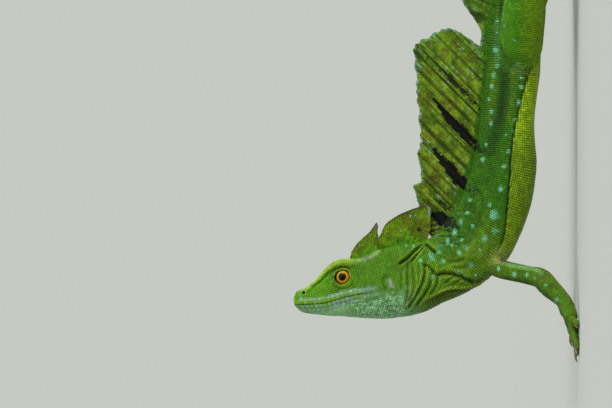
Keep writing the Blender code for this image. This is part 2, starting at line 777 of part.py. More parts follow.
def build_head(shape):
    """The head, with its lids, lips, nostrils and ears, parted from the lower jaw by the mouth line."""
    jaw = combine(shape.copy(), [jaw_prism(0.0)], "INTERSECT")
    jaw = combine(jaw, [lip(side, -LIP_RISE) for side in (-1, 1)], "UNION")
    put("lower_jaw", combine(jaw, [jaw_prism(0.0)], "INTERSECT"), JAW_GREEN)
    head = combine(shape, [lid_ring(side) for side in (-1, 1)], "UNION")
    head = combine(head, [lip(side, LIP_RISE) for side in (-1, 1)], "UNION")
    hollows = [jaw_prism(GAP)]
    for side in (-1, 1):
        hollows.append(eye_ball(side, EYE_RADIUS + GAP))
        hollows.append(pit(NOSTRIL, (NOSTRIL_RADIUS, NOSTRIL_RADIUS), side, 1.3))
        hollows.append(pit(EAR, EAR_CUP[:2], side, EAR_CUP[2]))
    put("head", combine(head, hollows, "DIFFERENCE"))


def build_body():
    for name, first, last, step, between in LENGTHS:
        shape = body_length(first, last, step, between)
        if name == "head":
            build_head(shape)
        elif name.startswith("tail"):
            put(name, cut_at_floor(shape))
        else:
            put(name, shape)


def build_eyes():
    for side, word in ((-1, "left"), (1, "right")):
        put(f"eye_{word}", eye_ball(side, EYE_RADIUS), EYE_ORANGE, 0.1)


def build_crests():
    """The head's two crests and the two sails, each trimmed by the body that it stands on."""
    shapes = {
        "head_crest_front": head_crest(FRONT_CREST, 0.0),
        "head_crest_rear": head_crest(REAR_CREST, REAR_CREST_BEND),
        "back_sail": sail(BACK_SAIL, BACK_SAIL_RAYS, BACK_SAIL_LEAN, True, SAIL_FRONT_BEND),
        "tail_sail": sail(TAIL_SAIL, TAIL_SAIL_RAYS, TAIL_SAIL_LEAN, False),
    }
    for name, shape in shapes.items():
        put(name, combine(shape, [body_cutter()], "DIFFERENCE"), CREST_GREEN, 0.7)


def build_limbs():
    for side in ("left", "right"):
        build_limb(
            side, ARM_JOINTS[side], ARM_THICKNESS, ARM_NODES, FINGERS, HAND_TURN[side], FINGER_RADIUS, body_cutter
        )
        build_limb(side, LEG_JOINTS[side], LEG_THICKNESS, LEG_NODES, TOES, FOOT_TURN[side], TOE_RADIUS, body_cutter)


def main():
    clear_scene()
    build_body()
    build_eyes()
    build_crests()
    build_limbs()


main()
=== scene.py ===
"""Green basilisk, a life-size male on the floor: its skin, scales, crests, eyes and claws.

Places and sizes are millimetres, with the head towards -X, the animal's left side towards -Y and the
floor at z = 0, as in the solids. metres() turns them into the frame's metres.
Markings and folds are drawn on a side view, half a millimetre a step: its first number runs down from
the back to the floor, its second from the tail towards the snout. Both sides of the animal wear them.
"""

import math

import bmesh
import bpy
import numpy as np
from mathutils import Matrix, Vector
from mathutils.bvhtree import BVHTree
from mathutils.kdtree import KDTree

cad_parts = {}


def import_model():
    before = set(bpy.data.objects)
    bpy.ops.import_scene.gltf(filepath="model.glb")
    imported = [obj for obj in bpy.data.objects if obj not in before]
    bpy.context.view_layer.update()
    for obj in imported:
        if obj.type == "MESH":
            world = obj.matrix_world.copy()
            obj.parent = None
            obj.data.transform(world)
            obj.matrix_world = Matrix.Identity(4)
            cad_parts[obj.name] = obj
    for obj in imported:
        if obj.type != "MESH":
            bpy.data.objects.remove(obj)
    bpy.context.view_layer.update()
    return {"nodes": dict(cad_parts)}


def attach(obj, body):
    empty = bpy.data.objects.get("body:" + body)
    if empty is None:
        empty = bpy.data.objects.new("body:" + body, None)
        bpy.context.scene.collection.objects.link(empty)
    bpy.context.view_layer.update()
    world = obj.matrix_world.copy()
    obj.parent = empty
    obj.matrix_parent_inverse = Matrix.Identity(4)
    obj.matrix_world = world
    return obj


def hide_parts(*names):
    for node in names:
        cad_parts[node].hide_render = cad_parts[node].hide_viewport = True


join = np.concatenate
MM = 0.001
# Where the places of this script lie in the frame.
PLACE = np.array((-162.6, 8.3, 0))

# The side view is seen from this place, along this direction, with this many steps to a length as long as
# its distance, and its middle is at these numbers. A step on the flank is half a millimetre.
VIEW_FROM = np.array((29, -1147.5, 35))
VIEW_ALONG = np.array((0, 0.99622, 0.08682))
VIEW_SCALE = 2295.0
VIEW_MIDDLE = np.array((306.0, 204.0))
VIEW_STEP = 0.5
# How far the flank stands out from the middle plane, and a level below the whole animal.
FLANK_DEPTH = 12.0
BELOW_ALL = 400.0

# The mid line of the head and trunk in the upright middle plane: distance from the snout, x and z.
HEAD_LENGTH = 60.0
MID_LINE = [
    (0, -19.5, 140.5), (30, -14.1, 111), (HEAD_LENGTH, -8.7, 81.5), (68, -7, 73.7),
    (83, -0.5, 60.3), (98, 9.8, 50.2), (113, 22.8, 43), (128, 37, 38), (143.5, 52, 34.5),
    (172, 80.5, 32.5), (202, 110.4, 31), (217, 125.2, 28),
]
TAIL_START = 217.0
TAIL_END = 700.0
# The tail's mid line: distance and height, then distance and heading in degrees from straight back.
TAIL_DROP = [(217, 28), (232, 22.3), (250, 16), (270, 11), (290, 8.2), (310, 6), (700, 0)]
TAIL_HEADING = [
    (217, 0), (275, 10), (345, 50), (415, 30), (485, -45), (555, -100),
    (630, -110), (700, -60),
]
# Sections of the head: distance, height of the roof, depth of the throat, then the brow ridge, the
# cheek and the jaw's lower corner, each as half width and height.
HEAD_SECTIONS = [
    (0, 2.3, 3.4, 1.8, 1.3, 2.6, -0.5, 2, -2.5), (1.5, 4.3, 5.6, 3, 3.3, 4.4, -0.6, 3.5, -4.3),
    (6, 5.2, 7.7, 4.2, 4.4, 5.9, -1.2, 4.7, -6), (10, 7.1, 8.9, 4.9, 6.2, 6.9, -1.5, 5.7, -7),
    (14.5, 9.9, 10.2, 5.8, 9.1, 8, -1.8, 6.7, -8),
    (18, 12.6, 11.1, 7, 11.9, 9, -1.5, 7.4, -8.8),
    (22, 14.8, 11.9, 8.4, 14.3, 10.3, -0.5, 8.2, -9.5),
    (26, 15.6, 13, 8.8, 15.1, 11.2, 0.5, 9, -10.3),
    (31, 15.5, 14.3, 8, 14, 12, 0.5, 9.8, -11.3),
    (36, 15.7, 15.5, 6.4, 13.5, 12.8, 0, 10.6, -12.2),
    (41, 16.9, 16.5, 5.5, 14.2, 13.4, -1, 11.2, -13),
    (46, 17.7, 17.2, 5.1, 14.6, 13.6, -2, 11.3, -13.6),
    (56, 18.6, 17.7, 5.2, 15.2, 12.4, -2, 10.2, -14),
]
# Sections of the neck, trunk and tail: distance, height of the back, depth of the belly, half width.
BODY_SECTIONS = [
    (68, 17, 16.6, 11.4), (83, 17.5, 17, 12), (98, 18.4, 18, 13.2),
    (113, 17.2, 17.5, 13), (128, 16.5, 16.9, 13), (143, 15.8, 14.9, 13.4),
    (158, 15, 12.4, 13.2), (172, 14, 12.5, 12.6), (187, 12.9, 13.9, 11.6),
    (202, 12.6, 13.2, 11.2), (217, 11.6, 11.6, 10), (240, 10, 9.8, 8.4), (270, 8.4, 8.2, 6.9),
    (310, 7, 6.8, 5.8), (350, 5.9, 5.7, 4.9), (400, 4.8, 4.7, 4.1), (450, 4, 3.9, 3.5),
    (500, 3.2, 3.1, 2.9), (550, 2.6, 2.5, 2.4), (600, 2.1, 2, 1.9), (650, 1.6, 1.5, 1.5),
    (700, 1, 0.9, 0.9),
]
# Corners of the body's sections, as shares of their half width and of the back's height or belly's depth.
BACK_SHOULDER = (0.5, 0.8)
FLANK_HEIGHT = -0.13
BELLY_CORNER = (0.77, -0.77)

# The head's parts as (distance, height), and their sizes.
EYE = (26.9, 7.25)
EYE_RADIUS = 4.2
EYE_CENTRE_WIDTH = 7.3
EYE_OPENING = 3.6
# The width that the iris's colours are spread over, and a distance that lies behind it.
IRIS_REACH = 5.0
BEHIND_IRIS = 9.0
# The lids' folds: distance outside the opening, reach, and how far they stand out.
LID_FOLDS = [(0.35, 0.32, 0.26), (1.15, 0.32, -0.3), (1.8, 0.4, 0.22), (2.5, 0.35, -0.22)]
NOSTRIL = (5.5, 3.3)
EAR = (47.4, 1.4)
EAR_CUP = (1.9, 3.6)
# The slit of the mouth and the ridge of the brow: distance and height.
MOUTH_LINE = [(-3, -1.6), (7.8, -3), (14.8, -3.6), (20, -3.2), (25.2, -2.6), (30.3, -2.3), (36, -2.2)]
BROW_LINE = [(2, 3.6), (6, 4.8), (10, 6.7), (14.5, 9.5), (18, 12.2), (24, 14.7), (31, 13.9), (36, 13)]
# The lips' swellings and grooves: height above the slit, reach, and how far they stand out.
LIP_RELIEF = [(0.0, 0.26, -0.45), (1.1, 0.75, 0.28), (-1.1, 0.75, 0.22), (-2.6, 0.3, -0.15)]
# The plates of the lips: height above the slit, length, half width, start, how far they stand out, and
# the share of pale blue in their colour.
LIP_PLATES = [
    (0.95, 2.35, 0.8, 0.2, 0.13, 0.05),
    (2.35, 2.35, 0.9, 0.2, 0.15, 0.52),
    (-1.25, 2.3, 1.05, 0.6, 0.15, 0.42),
    (-2.95, 2.2, 0.85, 1.6, 0.14, 0.62),
]
# The swollen corner of the mouth and the cheek: place, half sizes, outer and inner edge, and height.
CHEEK_SWELLINGS = [((38.5, -4.6), (5.2, 1.8), 1.1, 0.4, 0.6), ((41, -9), (9, 5.5), 1.2, 0.3, 0.5)]
# The ribs of the head's crests, each with its foot and its tip as (distance, height).
FRONT_CREST = [
    ((30.6, 14), (31.2, 16.6)), ((32.4, 14), (33, 19.6)), ((34.4, 14), (35.6, 22.4)),
    ((36.6, 14), (39.4, 24.9)), ((38.8, 14.4), (43.3, 27.4)), ((41, 14.8), (47.5, 31.2)),
    ((42.4, 15.2), (46.9, 26)), ((44.2, 15.4), (45.7, 22.2)),
]
REAR_CREST = [
    ((43.9, 15.2), (45.2, 22)), ((47.2, 15.6), (48.4, 25)), ((49.4, 16), (51.4, 29.2)),
    ((52.4, 16.4), (56.6, 32.1)), ((55.6, 16.6), (62.6, 33.9)), ((59, 16.6), (69.2, 35)),
    ((62.4, 16.2), (75.3, 34.7)), ((64.8, 16), (74.8, 29.6)), ((66.8, 15.6), (73.4, 23.6)),
    ((68.4, 15.2), (70.8, 18.6)),
]
# How far the rear crest's tips and the back sail's edge, by distance, bend to the right.
REAR_CREST_BEND = -1.8
SAIL_FRONT_BEND = [(80, 2.8), (91, 2.2), (100, 1.4), (112, 0), (194, 0)]
# The sails: distance and height of the edge, number of rays, and their lean in degrees.
BACK_SAIL = [
    (80.5, 3.5), (82, 9.5), (84.5, 13), (88, 15), (91.5, 15.8), (93, 17.2), (95, 19.6),
    (97, 22.4), (100, 24), (103, 22.6), (106.5, 23), (110, 26), (114, 29.9),
    (120, 31.8), (126, 34.2), (134, 38.8), (142, 42.4), (150, 44.6), (157, 46.8),
    (161, 48.4), (163, 48.8), (165, 47.2), (170, 43.5), (175, 39.5), (180, 35),
    (185, 29.8), (189, 23), (190.5, 16.5), (192, 8.5), (193.5, 4.2),
]
BACK_SAIL_RAYS = 20
BACK_SAIL_LEAN = 45.0
TAIL_SAIL = [
    (194.5, 4.2), (203, 4.6), (206, 9), (209, 15), (212, 19.8), (216, 22.8), (224, 25),
    (240, 26.5), (265, 24.5), (300, 18.5), (330, 11.8), (355, 5.8), (374, 1.6),
]
TAIL_SAIL_RAYS = 28
TAIL_SAIL_LEAN = 14.0
# How deep the sails and crests stand in the skin.
SAIL_SINK = 2.5
CREST_SINK = 1.0

# The limbs' joints, from inside the body to the palm or sole, and the half width and half thickness there.
ARM_JOINTS = {
    "left": [
        (2.5, -4, 47), (-2.6, -11, 40), (-7.2, -25, 18.2), (-19.3, -31.5, 6.2), (-28, -34.5, 3.3),
    ],
    "right": [
        (2.5, 4, 47), (-2.2, 11, 40), (-8.6, 27, 17.6), (-20.5, 36, 6.2), (-28, 41.5, 3.3),
    ],
}
ARM_THICKNESS = [(5, 5), (4.2, 4.2), (4.8, 4.7), (3.7, 3.4), (5, 3.4)]
LEG_JOINTS = {
    "left": [
        (100, 1, 29), (108, -7, 28), (145, -32, 22), (171, -58, 6.8), (184, -67, 3.6),
    ],
    "right": [
        (100, -1, 29), (108, 7, 28), (139, 36, 22), (157, 66, 6.8), (165, 79.5, 3.6),
    ],
}
# The arm's thickness from its root to below its elbow, where it bends more closely.
ELBOW_THICKNESS = [(5, 5), (4.1, 4.1), (4.1, 4.1), (4.75, 4.65), (4.6, 4.5)]
LEG_THICKNESS = [(10, 10), (11, 11), (6.6, 6.8), (4.3, 4), (5.8, 3.7)]
# The limbs' muscles: place along the limb from 0 to 1, reach, and how much thicker it is there.
ARM_MUSCLES = [(0.68, 0.1, 0.06)]
LEG_MUSCLES = [(0.3, 0.1, 0.1), (0.62, 0.08, 0.16), (0.47, 0.04, 0.04)]
# Fingers and toes: degrees from the middle one, and length. Then the way hands and feet point, in degrees
# outwards from straight ahead, and the radius of fingers and toes at root and tip.
FINGERS = [(-52, 8.5), (-24, 13), (0, 16.5), (22, 17), (56, 11.5)]
TOES = [(-46, 10.5), (-22, 17), (-3, 25), (15, 34), (48, 18)]
HAND_TURN = {"left": 18, "right": 34}
FOOT_TURN = {"left": 145, "right": 120}
FINGER_RADIUS = (1.75, 1.15)
TOE_RADIUS = (2.2, 1.25)
# How far a digit's root lies inside the palm.
DIGIT_ROOT = 1.6
CLAW_LENGTH = 3.4
CLAW_RADIUS = 0.75

# The steps between a limb's rings, and between those of its rounded end.
LIMB_STEP = 0.9
LIMB_END_STEPS = (0.3, 0.8, 1.5, 2.4)
# Points round the body, a limb and a digit, and fine columns and rows of a sail or crest.
BODY_SIDES = 176
LIMB_SIDES = 40
DIGIT_SIDES = 14
SAIL_COLUMNS = 14
SAIL_ROWS = 46
CREST_COLUMNS = 10
CREST_ROWS = 40

# Colours of the living animal, as linear red, green and blue. Some of them stand for painted shade and
# painted highlight.
CHEEK_GREEN = (0.067, 0.2, 0.002)
SNOUT_GREEN = (0.095, 0.275, 0.004)
NECK_GREEN = (0.082, 0.215, 0.006)
FLANK_GREEN = (0.034, 0.138, 0.001)
# Darker green patches, and painted shade on the flank and back, under the brow and before the thigh.
SHADE_GREEN = (0.012, 0.06, 0.001)
BACK_GREEN = np.array((0.032, 0.118, 0.002))
BELLY_YELLOW = (0.33, 0.52, 0.006)
CHEST_GREEN = (0.125, 0.24, 0.005)
# Painted highlight on the ridges beside the folds.
RIDGE_HIGHLIGHT = (0.22, 0.35, 0.012)
BROW_YELLOW = (0.35, 0.53, 0.035)
LIP_BLUE = np.array((0.27, 0.45, 0.35))
LIP_YELLOW = np.array((0.145, 0.31, 0.012))
CHIN_PALE = np.array((0.35, 0.7, 0.345))
CHIN_DARK = (0.092, 0.235, 0.085)
# Painted shade under the throat's fold.
THROAT_SHADE_OLIVE = (0.072, 0.132, 0.003)
SPOT_TURQUOISE = (0.115, 0.38, 0.18)
SPOT_PALE = (0.27, 0.54, 0.36)
EAR_GREY = (0.31, 0.38, 0.27)
TEMPLE_PALE = (0.3, 0.45, 0.17)
# Dark marks, and painted shade in the folds, the lips' slit, the nostril and round the eyes.
DARK = (0.004, 0.009, 0.002)
CREST_OLIVE = (0.135, 0.245, 0.004)
CREST_GREEN = (0.07, 0.26, 0.003)
CREST_BROWN = (0.12, 0.085, 0.01)
SAIL_YELLOW = (0.235, 0.36, 0.01)
SAIL_GREEN = (0.075, 0.175, 0.004)
SAIL_BROWN = (0.15, 0.105, 0.008)
SAIL_BLUE = (0.25, 0.42, 0.3)
ARM_GREEN = (0.08, 0.19, 0.006)
THIGH_GREEN = (0.07, 0.25, 0.004)
PALE_ARM = (0.3, 0.38, 0.08)
BELLY_GREEN = (0.095, 0.185, 0.003)
LOWER_LIP = (0.085, 0.21, 0.045)
LOWER_PLATE = (0.11, 0.25, 0.035)
LILAC = (0.3, 0.24, 0.22)
CHEEK_OLIVE = (0.13, 0.2, 0.02)
NOSTRIL_RIM = (0.25, 0.4, 0.06)
LID_YELLOW = (0.23, 0.36, 0.012)
CLOUD_BLUE = (0.09, 0.23, 0.11)
# Painted shadow at the nape.
NAPE_SHADOW_BLACK = (0.004, 0.005, 0.002)
TAIL_BROWN = (0.03, 0.05, 0.008)
TAIL_GREY = (0.08, 0.085, 0.02)
SOFT_PINK = (0.33, 0.27, 0.13)
FOLD_BROWN = (0.11, 0.085, 0.012)
LIMB_BELOW = (0.15, 0.25, 0.01)
ARM_INSIDE = (0.03, 0.075, 0.004)
# Painted highlight along the top of the arm.
ARM_TOP_HIGHLIGHT = (0.23, 0.44, 0.12)
# Painted shade along the arm's underside.
ARM_SHADE = (0.02, 0.055, 0.002)
ELBOW_OLIVE = (0.13, 0.135, 0.01)
KNEE_YELLOW = (0.22, 0.38, 0.006)
SHIN_OLIVE = (0.08, 0.13, 0.012)
DIGIT_GREEN = (0.09, 0.19, 0.008)
DIGIT_OLIVE = (0.11, 0.11, 0.03)
DIGIT_BAND = (0.035, 0.05, 0.012)
SAIL_SHADE = (0.04, 0.1, 0.004)
# Painted shade in the grooves between a sail's rays.
RAY_GROOVE_SHADE = (0.014, 0.018, 0.002)
THIN_LINE = (0.03, 0.05, 0.003)
# Black of the sail's slots, and the nape's painted shadow.
SLOT_AND_SHADOW_BLACK = (0.003, 0.004, 0.002)
STRIPE_YELLOW = (0.2, 0.24, 0.02)
STRIPE_BROWN = (0.03, 0.022, 0.006)
SAIL_REAR_GREEN = (0.075, 0.26, 0.008)
CREST_SHADE = (0.052, 0.12, 0.004)
CREST_BAND = (0.12, 0.125, 0.006)
CREST_REAR = (0.085, 0.08, 0.006)
CREST_TIP = (0.15, 0.13, 0.1)
CREST_BLUE = (0.2, 0.36, 0.3)
CREST_BLACK = (0.006, 0.01, 0.002)
FRONT_RIM = (0.07, 0.04, 0.006)
REAR_RIM = (0.065, 0.03, 0.01)
FLOOR_GREY = (0.49, 0.5, 0.48)
STUDIO_LIGHT = (0.8, 0.84, 0.78)
# The eye from the middle of its pupil outwards, and the horn of the claws: place from 0 to 1, and colour.
IRIS_COLOURS = [
    (0.0, (0.001, 0.001, 0.001)), (0.384, (0.001, 0.001, 0.001)), (0.41, (0.16, 0.1, 0.003)),
    (0.435, (0.42, 0.29, 0.005)), (0.51, (0.47, 0.27, 0.004)), (0.58, (0.5, 0.17, 0.004)),
    (0.65, (0.34, 0.08, 0.004)), (0.7, (0.1, 0.025, 0.003)), (0.745, (0.008, 0.006, 0.003)),
]
CLAW_COLOURS = [(0.0, (0.03, 0.022, 0.012)), (1.0, (0.16, 0.12, 0.06))]

# The edge where the flank's fine scales meet the belly's larger ones, on the side view.
BELLY_EDGE = [
    (546, -40), (542, 20), (534, 62), (528, 77), (524, 90), (517, 118), (512.5, 142), (510.5, 160),
    (509.5, 181), (507, 211), (504, 238), (498, 250),
]
# Folds of the skin on the side view: the line, half its width and its depth in millimetres.
FOLDS = [
    ([(398, 264.5), (402, 262), (408, 258), (413, 253), (417, 249), (424, 243)], 0.75, 1.7),
    ([(410.5, 262.5), (414, 258), (418, 253), (422, 249), (425, 246)], 0.6, 1.4),
    ([(425, 244), (430, 248), (436, 254)], 0.9, 1.3),
    ([(402, 268), (401, 280), (402, 292)], 0.6, 0.25),
    ([(408, 260), (407.5, 275), (408, 288), (407, 298), (405, 307)], 0.65, 0.5),
    ([(412, 264), (414, 275), (415, 285), (412, 295), (407, 305)], 0.65, 0.55),
    ([(418, 262), (420, 272), (418, 283), (414, 293), (409, 302)], 0.6, 0.4),
    ([(424, 260), (425, 272), (423, 282), (419, 290), (415, 298), (411, 304), (405, 311)], 0.8, 1.1),
    ([(433, 270), (432, 277), (430, 285), (426, 293), (421, 299), (415, 307)], 0.75, 1),
    ([(438, 277), (437, 284), (433, 291), (428, 297)], 0.7, 0.6),
    ([(425, 264), (430, 268), (434, 272), (437, 277)], 0.8, 1.1),
    ([(436, 276), (440, 274), (445, 273.5), (452, 274), (460, 276), (466, 279), (477, 284)], 1, 1.7),
    ([(444, 284), (450, 279), (455, 276)], 0.6, 0.8),
    ([(452, 286), (458, 281), (463, 279)], 0.6, 0.6),
    ([(476, 283), (486, 280), (494, 275)], 1.3, 1.2),
    ([(447, 262), (456, 262), (466, 258)], 0.9, 0.4),
    ([(452, 268), (462, 268), (474, 266)], 0.9, 0.4),
    ([(503, -30), (501, 20), (503, 50), (502, 62)], 1, 0.5),
    ([(503, 55), (504, 80), (502, 105), (497, 128)], 2.6, 0.45),
    ([(503, 58), (508, 66), (515, 71.5), (524, 75), (531, 75.5), (536, 74)], 0.8, 1),
    ([(436, 236), (450, 236.5), (468, 237.5)], 0.5, 0.5),
    ([(434, 228), (444, 230.5), (452, 232)], 0.5, 0.5),
    ([(438, 244), (450, 243.5), (460, 245)], 0.5, 0.4),
    ([(455, 210), (468, 212), (480, 213)], 0.6, 0.3),
    ([(333, 304.3), (344, 302), (352, 299), (360, 295.8)], 0.3, 0.35),
    ([(346, 293.8), (356, 291.5), (366, 290.8)], 0.3, 0.3),
    ([(352, 296.5), (360, 293.8), (370, 293.5)], 0.3, 0.3),
    ([(480, 190), (484, 206), (478, 222)], 1.2, 0.3),
    ([(330, 274.5), (335, 269.5), (341, 266.8), (347, 267), (353, 269.5)], 0.45, 0.55),
    ([(333, 286), (340, 289), (347, 288), (352, 284.5), (355, 278)], 0.4, 0.4),
    ([(311, 288), (322, 281), (329, 274)], 0.5, 0.3),
]
# The throat's fold on the side view: what lies below it is sunk and painted with shade.
THROAT_FOLD = [
    (396, 316), (406, 313), (413, 308.5), (420, 304), (430, 299), (440, 294), (447, 290.5), (455, 289.5),
    (465, 289.5), (473, 288), (480, 285), (489, 280),
]
# Single marks on the side view. A line is a row of points, a round mark has its place and half sizes, a
# box its place, outer half sizes and inner half sizes, and a stretch runs from one number to another.
ARMPIT = ((499, 255.5), (1.1, 1))
ARMPIT_PINK = ((503, 262), (7, 3.5))
ARMPIT_FOLD = [(489, 261), (493, 266), (495, 271)]
# Painted shadow before the thigh, where it meets the flank.
THIGH_SHADOW_LINE = [(497, 34), (500, 45), (505, 57), (511, 66), (518, 71)]
GROIN = [(512, 69), (521, 72.3), (532, 73), (541, 70)]
LILAC_MARK = ((449, 290), (1, 1))
OLIVE_MARK = ((362.5, 301), (7.5, 2.8))
TEMPLE_STREAK = [(350, 262), (360, 260.3), (370, 257.5), (376, 253), (380, 248)]
# Painted shade under the brow.
UNDER_BROW_SHADE = [(316, 285), (325, 276.3), (331, 270), (337, 266.2), (343, 264), (350, 263)]
EAR_MARK = [(389.5, 280.5), (391.5, 285.5)]
NECK_CLOUDS = ((450, 228), (24, 26), (14, 16))
# Painted shadow at the nape.
NAPE_SHADOW_LINE = [(430, 213), (437, 216), (446, 221), (453, 225), (460, 231)]
NAPE_STRIPES = ((436, 229), (9, 10), (6, 7))
# Painted highlight along the arm's top.
ARM_HIGHLIGHT_LINE = [(508, 264.5), (520, 267), (532, 268.5), (539, 271), (545, 276)]
# Painted shade along the arm's underside.
ARM_UNDERSIDE = [(505, 279), (520, 282), (530, 285), (540, 290), (551, 301), (562, 318)]
ELBOW_MARK = ((542, 279), (8, 7))
THIGH_LIGHT = (512, 540)
SAIL_GREEN_FOOT = (215, 195)
SAIL_REAR = (85, 55)
FRONT_CREST_TIP = ((377, 225), (1, 1))
CREST_STRIPE = ((429, 212), (1.6, 5.5), (0.6, 4))
CREST_REAR_MARK = ((422, 229), (15, 13))
CREST_SPOT = ((419.5, 230), (1, 1 / 0.9))
CREST_SPECKS = [(415, 215.5, 1.8), (410, 216, 1.9), (401, 230.5, 1.1)]
# Spots of the body on the side view: their place and half their size.
SPOTS = [
    (497, 22, 1.3), (504.7, 26, 1.2), (497, 32.5, 1.6), (496.5, 50, 2.6), (514.6, 40, 1.6), (497, 66, 2.1),
    (518, 64, 2), (493.4, 75.5, 2.2), (521, 78, 2), (492, 87, 2.3), (521.6, 87, 2.1), (489, 99.5, 1.4),
    (519, 103, 2.4), (491.5, 111.5, 2.1), (515, 119.6, 1.6), (491, 123.7, 2.1), (513, 131, 1.6),
    (506, 135, 1.4), (486, 144.5, 1.8), (508.8, 151, 2.3), (482.5, 160, 1.8), (504, 166.6, 2.3),
    (500.7, 189, 3), (470, 200, 2.2), (452.5, 202, 1.8), (490, 205, 2.2), (467.6, 212.8, 2),
    (493.5, 216, 4.3), (460.5, 221.5, 2.6), (495.3, 231, 3.3), (454.7, 233, 3), (485, 239, 3.2),
    (448, 242, 2.6), (439, 252, 2.4), (431.8, 256.5, 3.4), (420, 260.5, 2.1), (458.8, 272.7, 2.4),
    (431.8, 277, 2.1), (459, 253, 2.6), (471, 265, 2.1), (443, 261, 1.8), (465, 276, 1.7), (476, 275, 1.6),
    (498, 268.6, 1.8), (467, 249, 1.8), (413.5, 246.3, 1.2), (406.8, 246, 1.2),
    (462, 240, 1.6), (473, 226, 1.7), (480, 250, 1.6), (452, 245, 1.5),
]
ARM_SPOTS = [
    (514.5, 274.6, 2.5), (526.5, 275, 1.6), (546, 285, 1.5), (557, 299.5, 2.2), (535, 279, 1.2),
    (498.5, 268.5, 1.8), (541.5, 293, 1.2),
]
LEG_SPOTS = [
    (514.6, 40, 1.6), (518, 64, 2.2), (521, 78, 2), (504.7, 26, 1.3), (497, 22, 1.3), (497, 32.5, 1.6),
    (496.5, 50, 2.6), (497, 66, 2.1),
]
# Small marks of the head: place, half width and colour.
HEAD_MARKS = [
    (394, 288.5, 1.7, (0.17, 0.33, 0.25)),
    (391, 290, 1.2, (0.14, 0.12, 0.05)),
    (402, 291.5, 2, (0.15, 0.33, 0.23)),
    (340.5, 293.5, 2.6, (0.13, 0.38, 0.22)),
    (300.5, 296.5, 2.8, (0.13, 0.4, 0.2)),
    (306, 297.5, 1.8, (0.13, 0.4, 0.2)),
    (358.2, 275.3, 1.3, (0.04, 0.05, 0.006)),
    (351.5, 311, 3.4, (0.19, 0.2, 0.1)),
    (377, 314, 2.4, (0.15, 0.16, 0.07)),
    (366, 258.5, 3.6, (0.17, 0.24, 0.13)),
    (374, 262, 2, (0.12, 0.15, 0.015)),
]
# Spots where a limb meets the body.
SEAM_SPOTS = [
    (497, 22, 1.3), (497, 32.5, 1.6), (496.5, 50, 2.8), (497, 66, 2.3), (504.7, 26, 1.3), (518, 64, 2.2),
    (521, 78, 2), (498.5, 268.5, 1.8), (493.4, 75.5, 2.2),
]
# Painted shade, as darker green stretches of the flank and back on the side view: the line, half its width
# and strength.
SHADES = [
    ([(503, 62), (506, 85), (503, 110), (498, 130), (490, 150)], 7.5, 0.8),
    ([(470, 205), (474, 225), (468, 240)], 7, 0.45),
    ([(447, 216), (455, 228), (452, 240)], 5, 0.5),
    ([(502, -30), (501, 15), (502, 45)], 3, 0.45),
    ([(468, 284), (480, 280), (490, 274)], 6, 0.6),
    ([(448, 257), (462, 261), (478, 262)], 4, 0.35),
]
# Black and brown streaks of the sail on the side view, among them the nape's painted shadow: the line, half
# its width and how black it is.
SAIL_STREAKS = [
    ([(434, 100), (441, 108), (450, 119), (461, 130), (470, 140), (480, 149), (485, 155)], 4.6, 1),
    ([(434, 150), (441, 158), (450, 168), (457, 178), (466, 186), (473, 191), (478, 195)], 5.8, 1),
    ([(417, 46), (430, 58), (446, 73), (458, 86), (470, 98), (482, 112)], 2.2, 0.9),
    (NAPE_SHADOW_LINE, 7, 1),
    ([(433, 198), (441, 203), (450, 209)], 2.2, 0.8),
    ([(414, 50), (419, 56), (426, 63)], 2.6, 0.8),
    ([(470, 14), (475, 17), (480, 20)], 5, 0.9),
]

# The lamps: name, strength, how wide they look in degrees, and where they stand.
LAMPS = [
    ("key", 2.15, 90, (0.55, -0.5, 0.67)),
    ("glint_left", 1.15, 11, (0.88, -0.46, 0.12)),
    ("glint_right", 0.6, 11, (0.88, 0.46, 0.12)),
]

# The picture: the place in its middle, how much of the animal it is wide, and the camera's height.
PICTURE_MIDDLE = (29, 0, 135)
PICTURE_WIDTH = 306.0
CAMERA_HEIGHT = 35.0
# The floor's radius in the frame's metres.
FLOOR_RADIUS = 8.0
# The skins: name, roughness, fineness and depth of the grain, and shine.
SKINS = [
    ("basilisk skin", 0.55, 1900, 0.5, 0.1),
    ("basilisk scales", 0.42, 3000, 0.25, 0.14),
    ("crest skin", 0.55, 1500, 0.6, 0.08),
    ("crest scales", 0.5, 2600, 0.3, 0.1),
]

rng = np.random.default_rng(7)


def rows_at(rows, places):
    """The values of a table's rows at many distances, on a smooth curve through the rows."""
    table = np.array(rows, float)
    places = np.clip(np.asarray(places, float), table[0, 0], table[-1, 0])
    i = np.clip(np.searchsorted(table[:, 0], places, side="left") - 1, 0, len(table) - 2)
    before, a, b = table[np.maximum(i - 1, 0)], table[i], table[i + 1]
    after = table[np.minimum(i + 2, len(table) - 1)]
    span = b[:, :1] - a[:, :1]
    t = (places[:, None] - a[:, :1]) / span
    slope_a = (b[:, 1:] - before[:, 1:]) / (b[:, :1] - before[:, :1]) * span
    slope_b = (after[:, 1:] - a[:, 1:]) / (after[:, :1] - a[:, :1]) * span
    return (
        a[:, 1:] * (2 * t**3 - 3 * t**2 + 1)
        + slope_a * (t**3 - 2 * t**2 + t)
        + b[:, 1:] * (3 * t**2 - 2 * t**3)
        + slope_b * (t**3 - t**2)
    )


def row_at(rows, place):
    return rows_at(rows, [place])[0]


def unit(vectors):
    return vectors / np.maximum(np.linalg.norm(vectors, axis=-1, keepdims=True), 1e-9)


def ease(x, low, high):
    """Rises smoothly from 0 at low to 1 at high, and falls where low is above high."""
    t = np.clip((x - low) / (high - low), 0, 1)
    return t * t * (3 - 2 * t)


def between(x, start, full, fading, end):
    """Rises smoothly from 0 at start to 1 at full, and falls again from fading to 0 at end."""
    return ease(x, start, full) * ease(x, end, fading)


def bell(x, middle, reach):
    """A soft bump: 1 at the middle, and falling off over the reach on both sides."""
    return np.exp(-(((x - middle) / reach) ** 2))


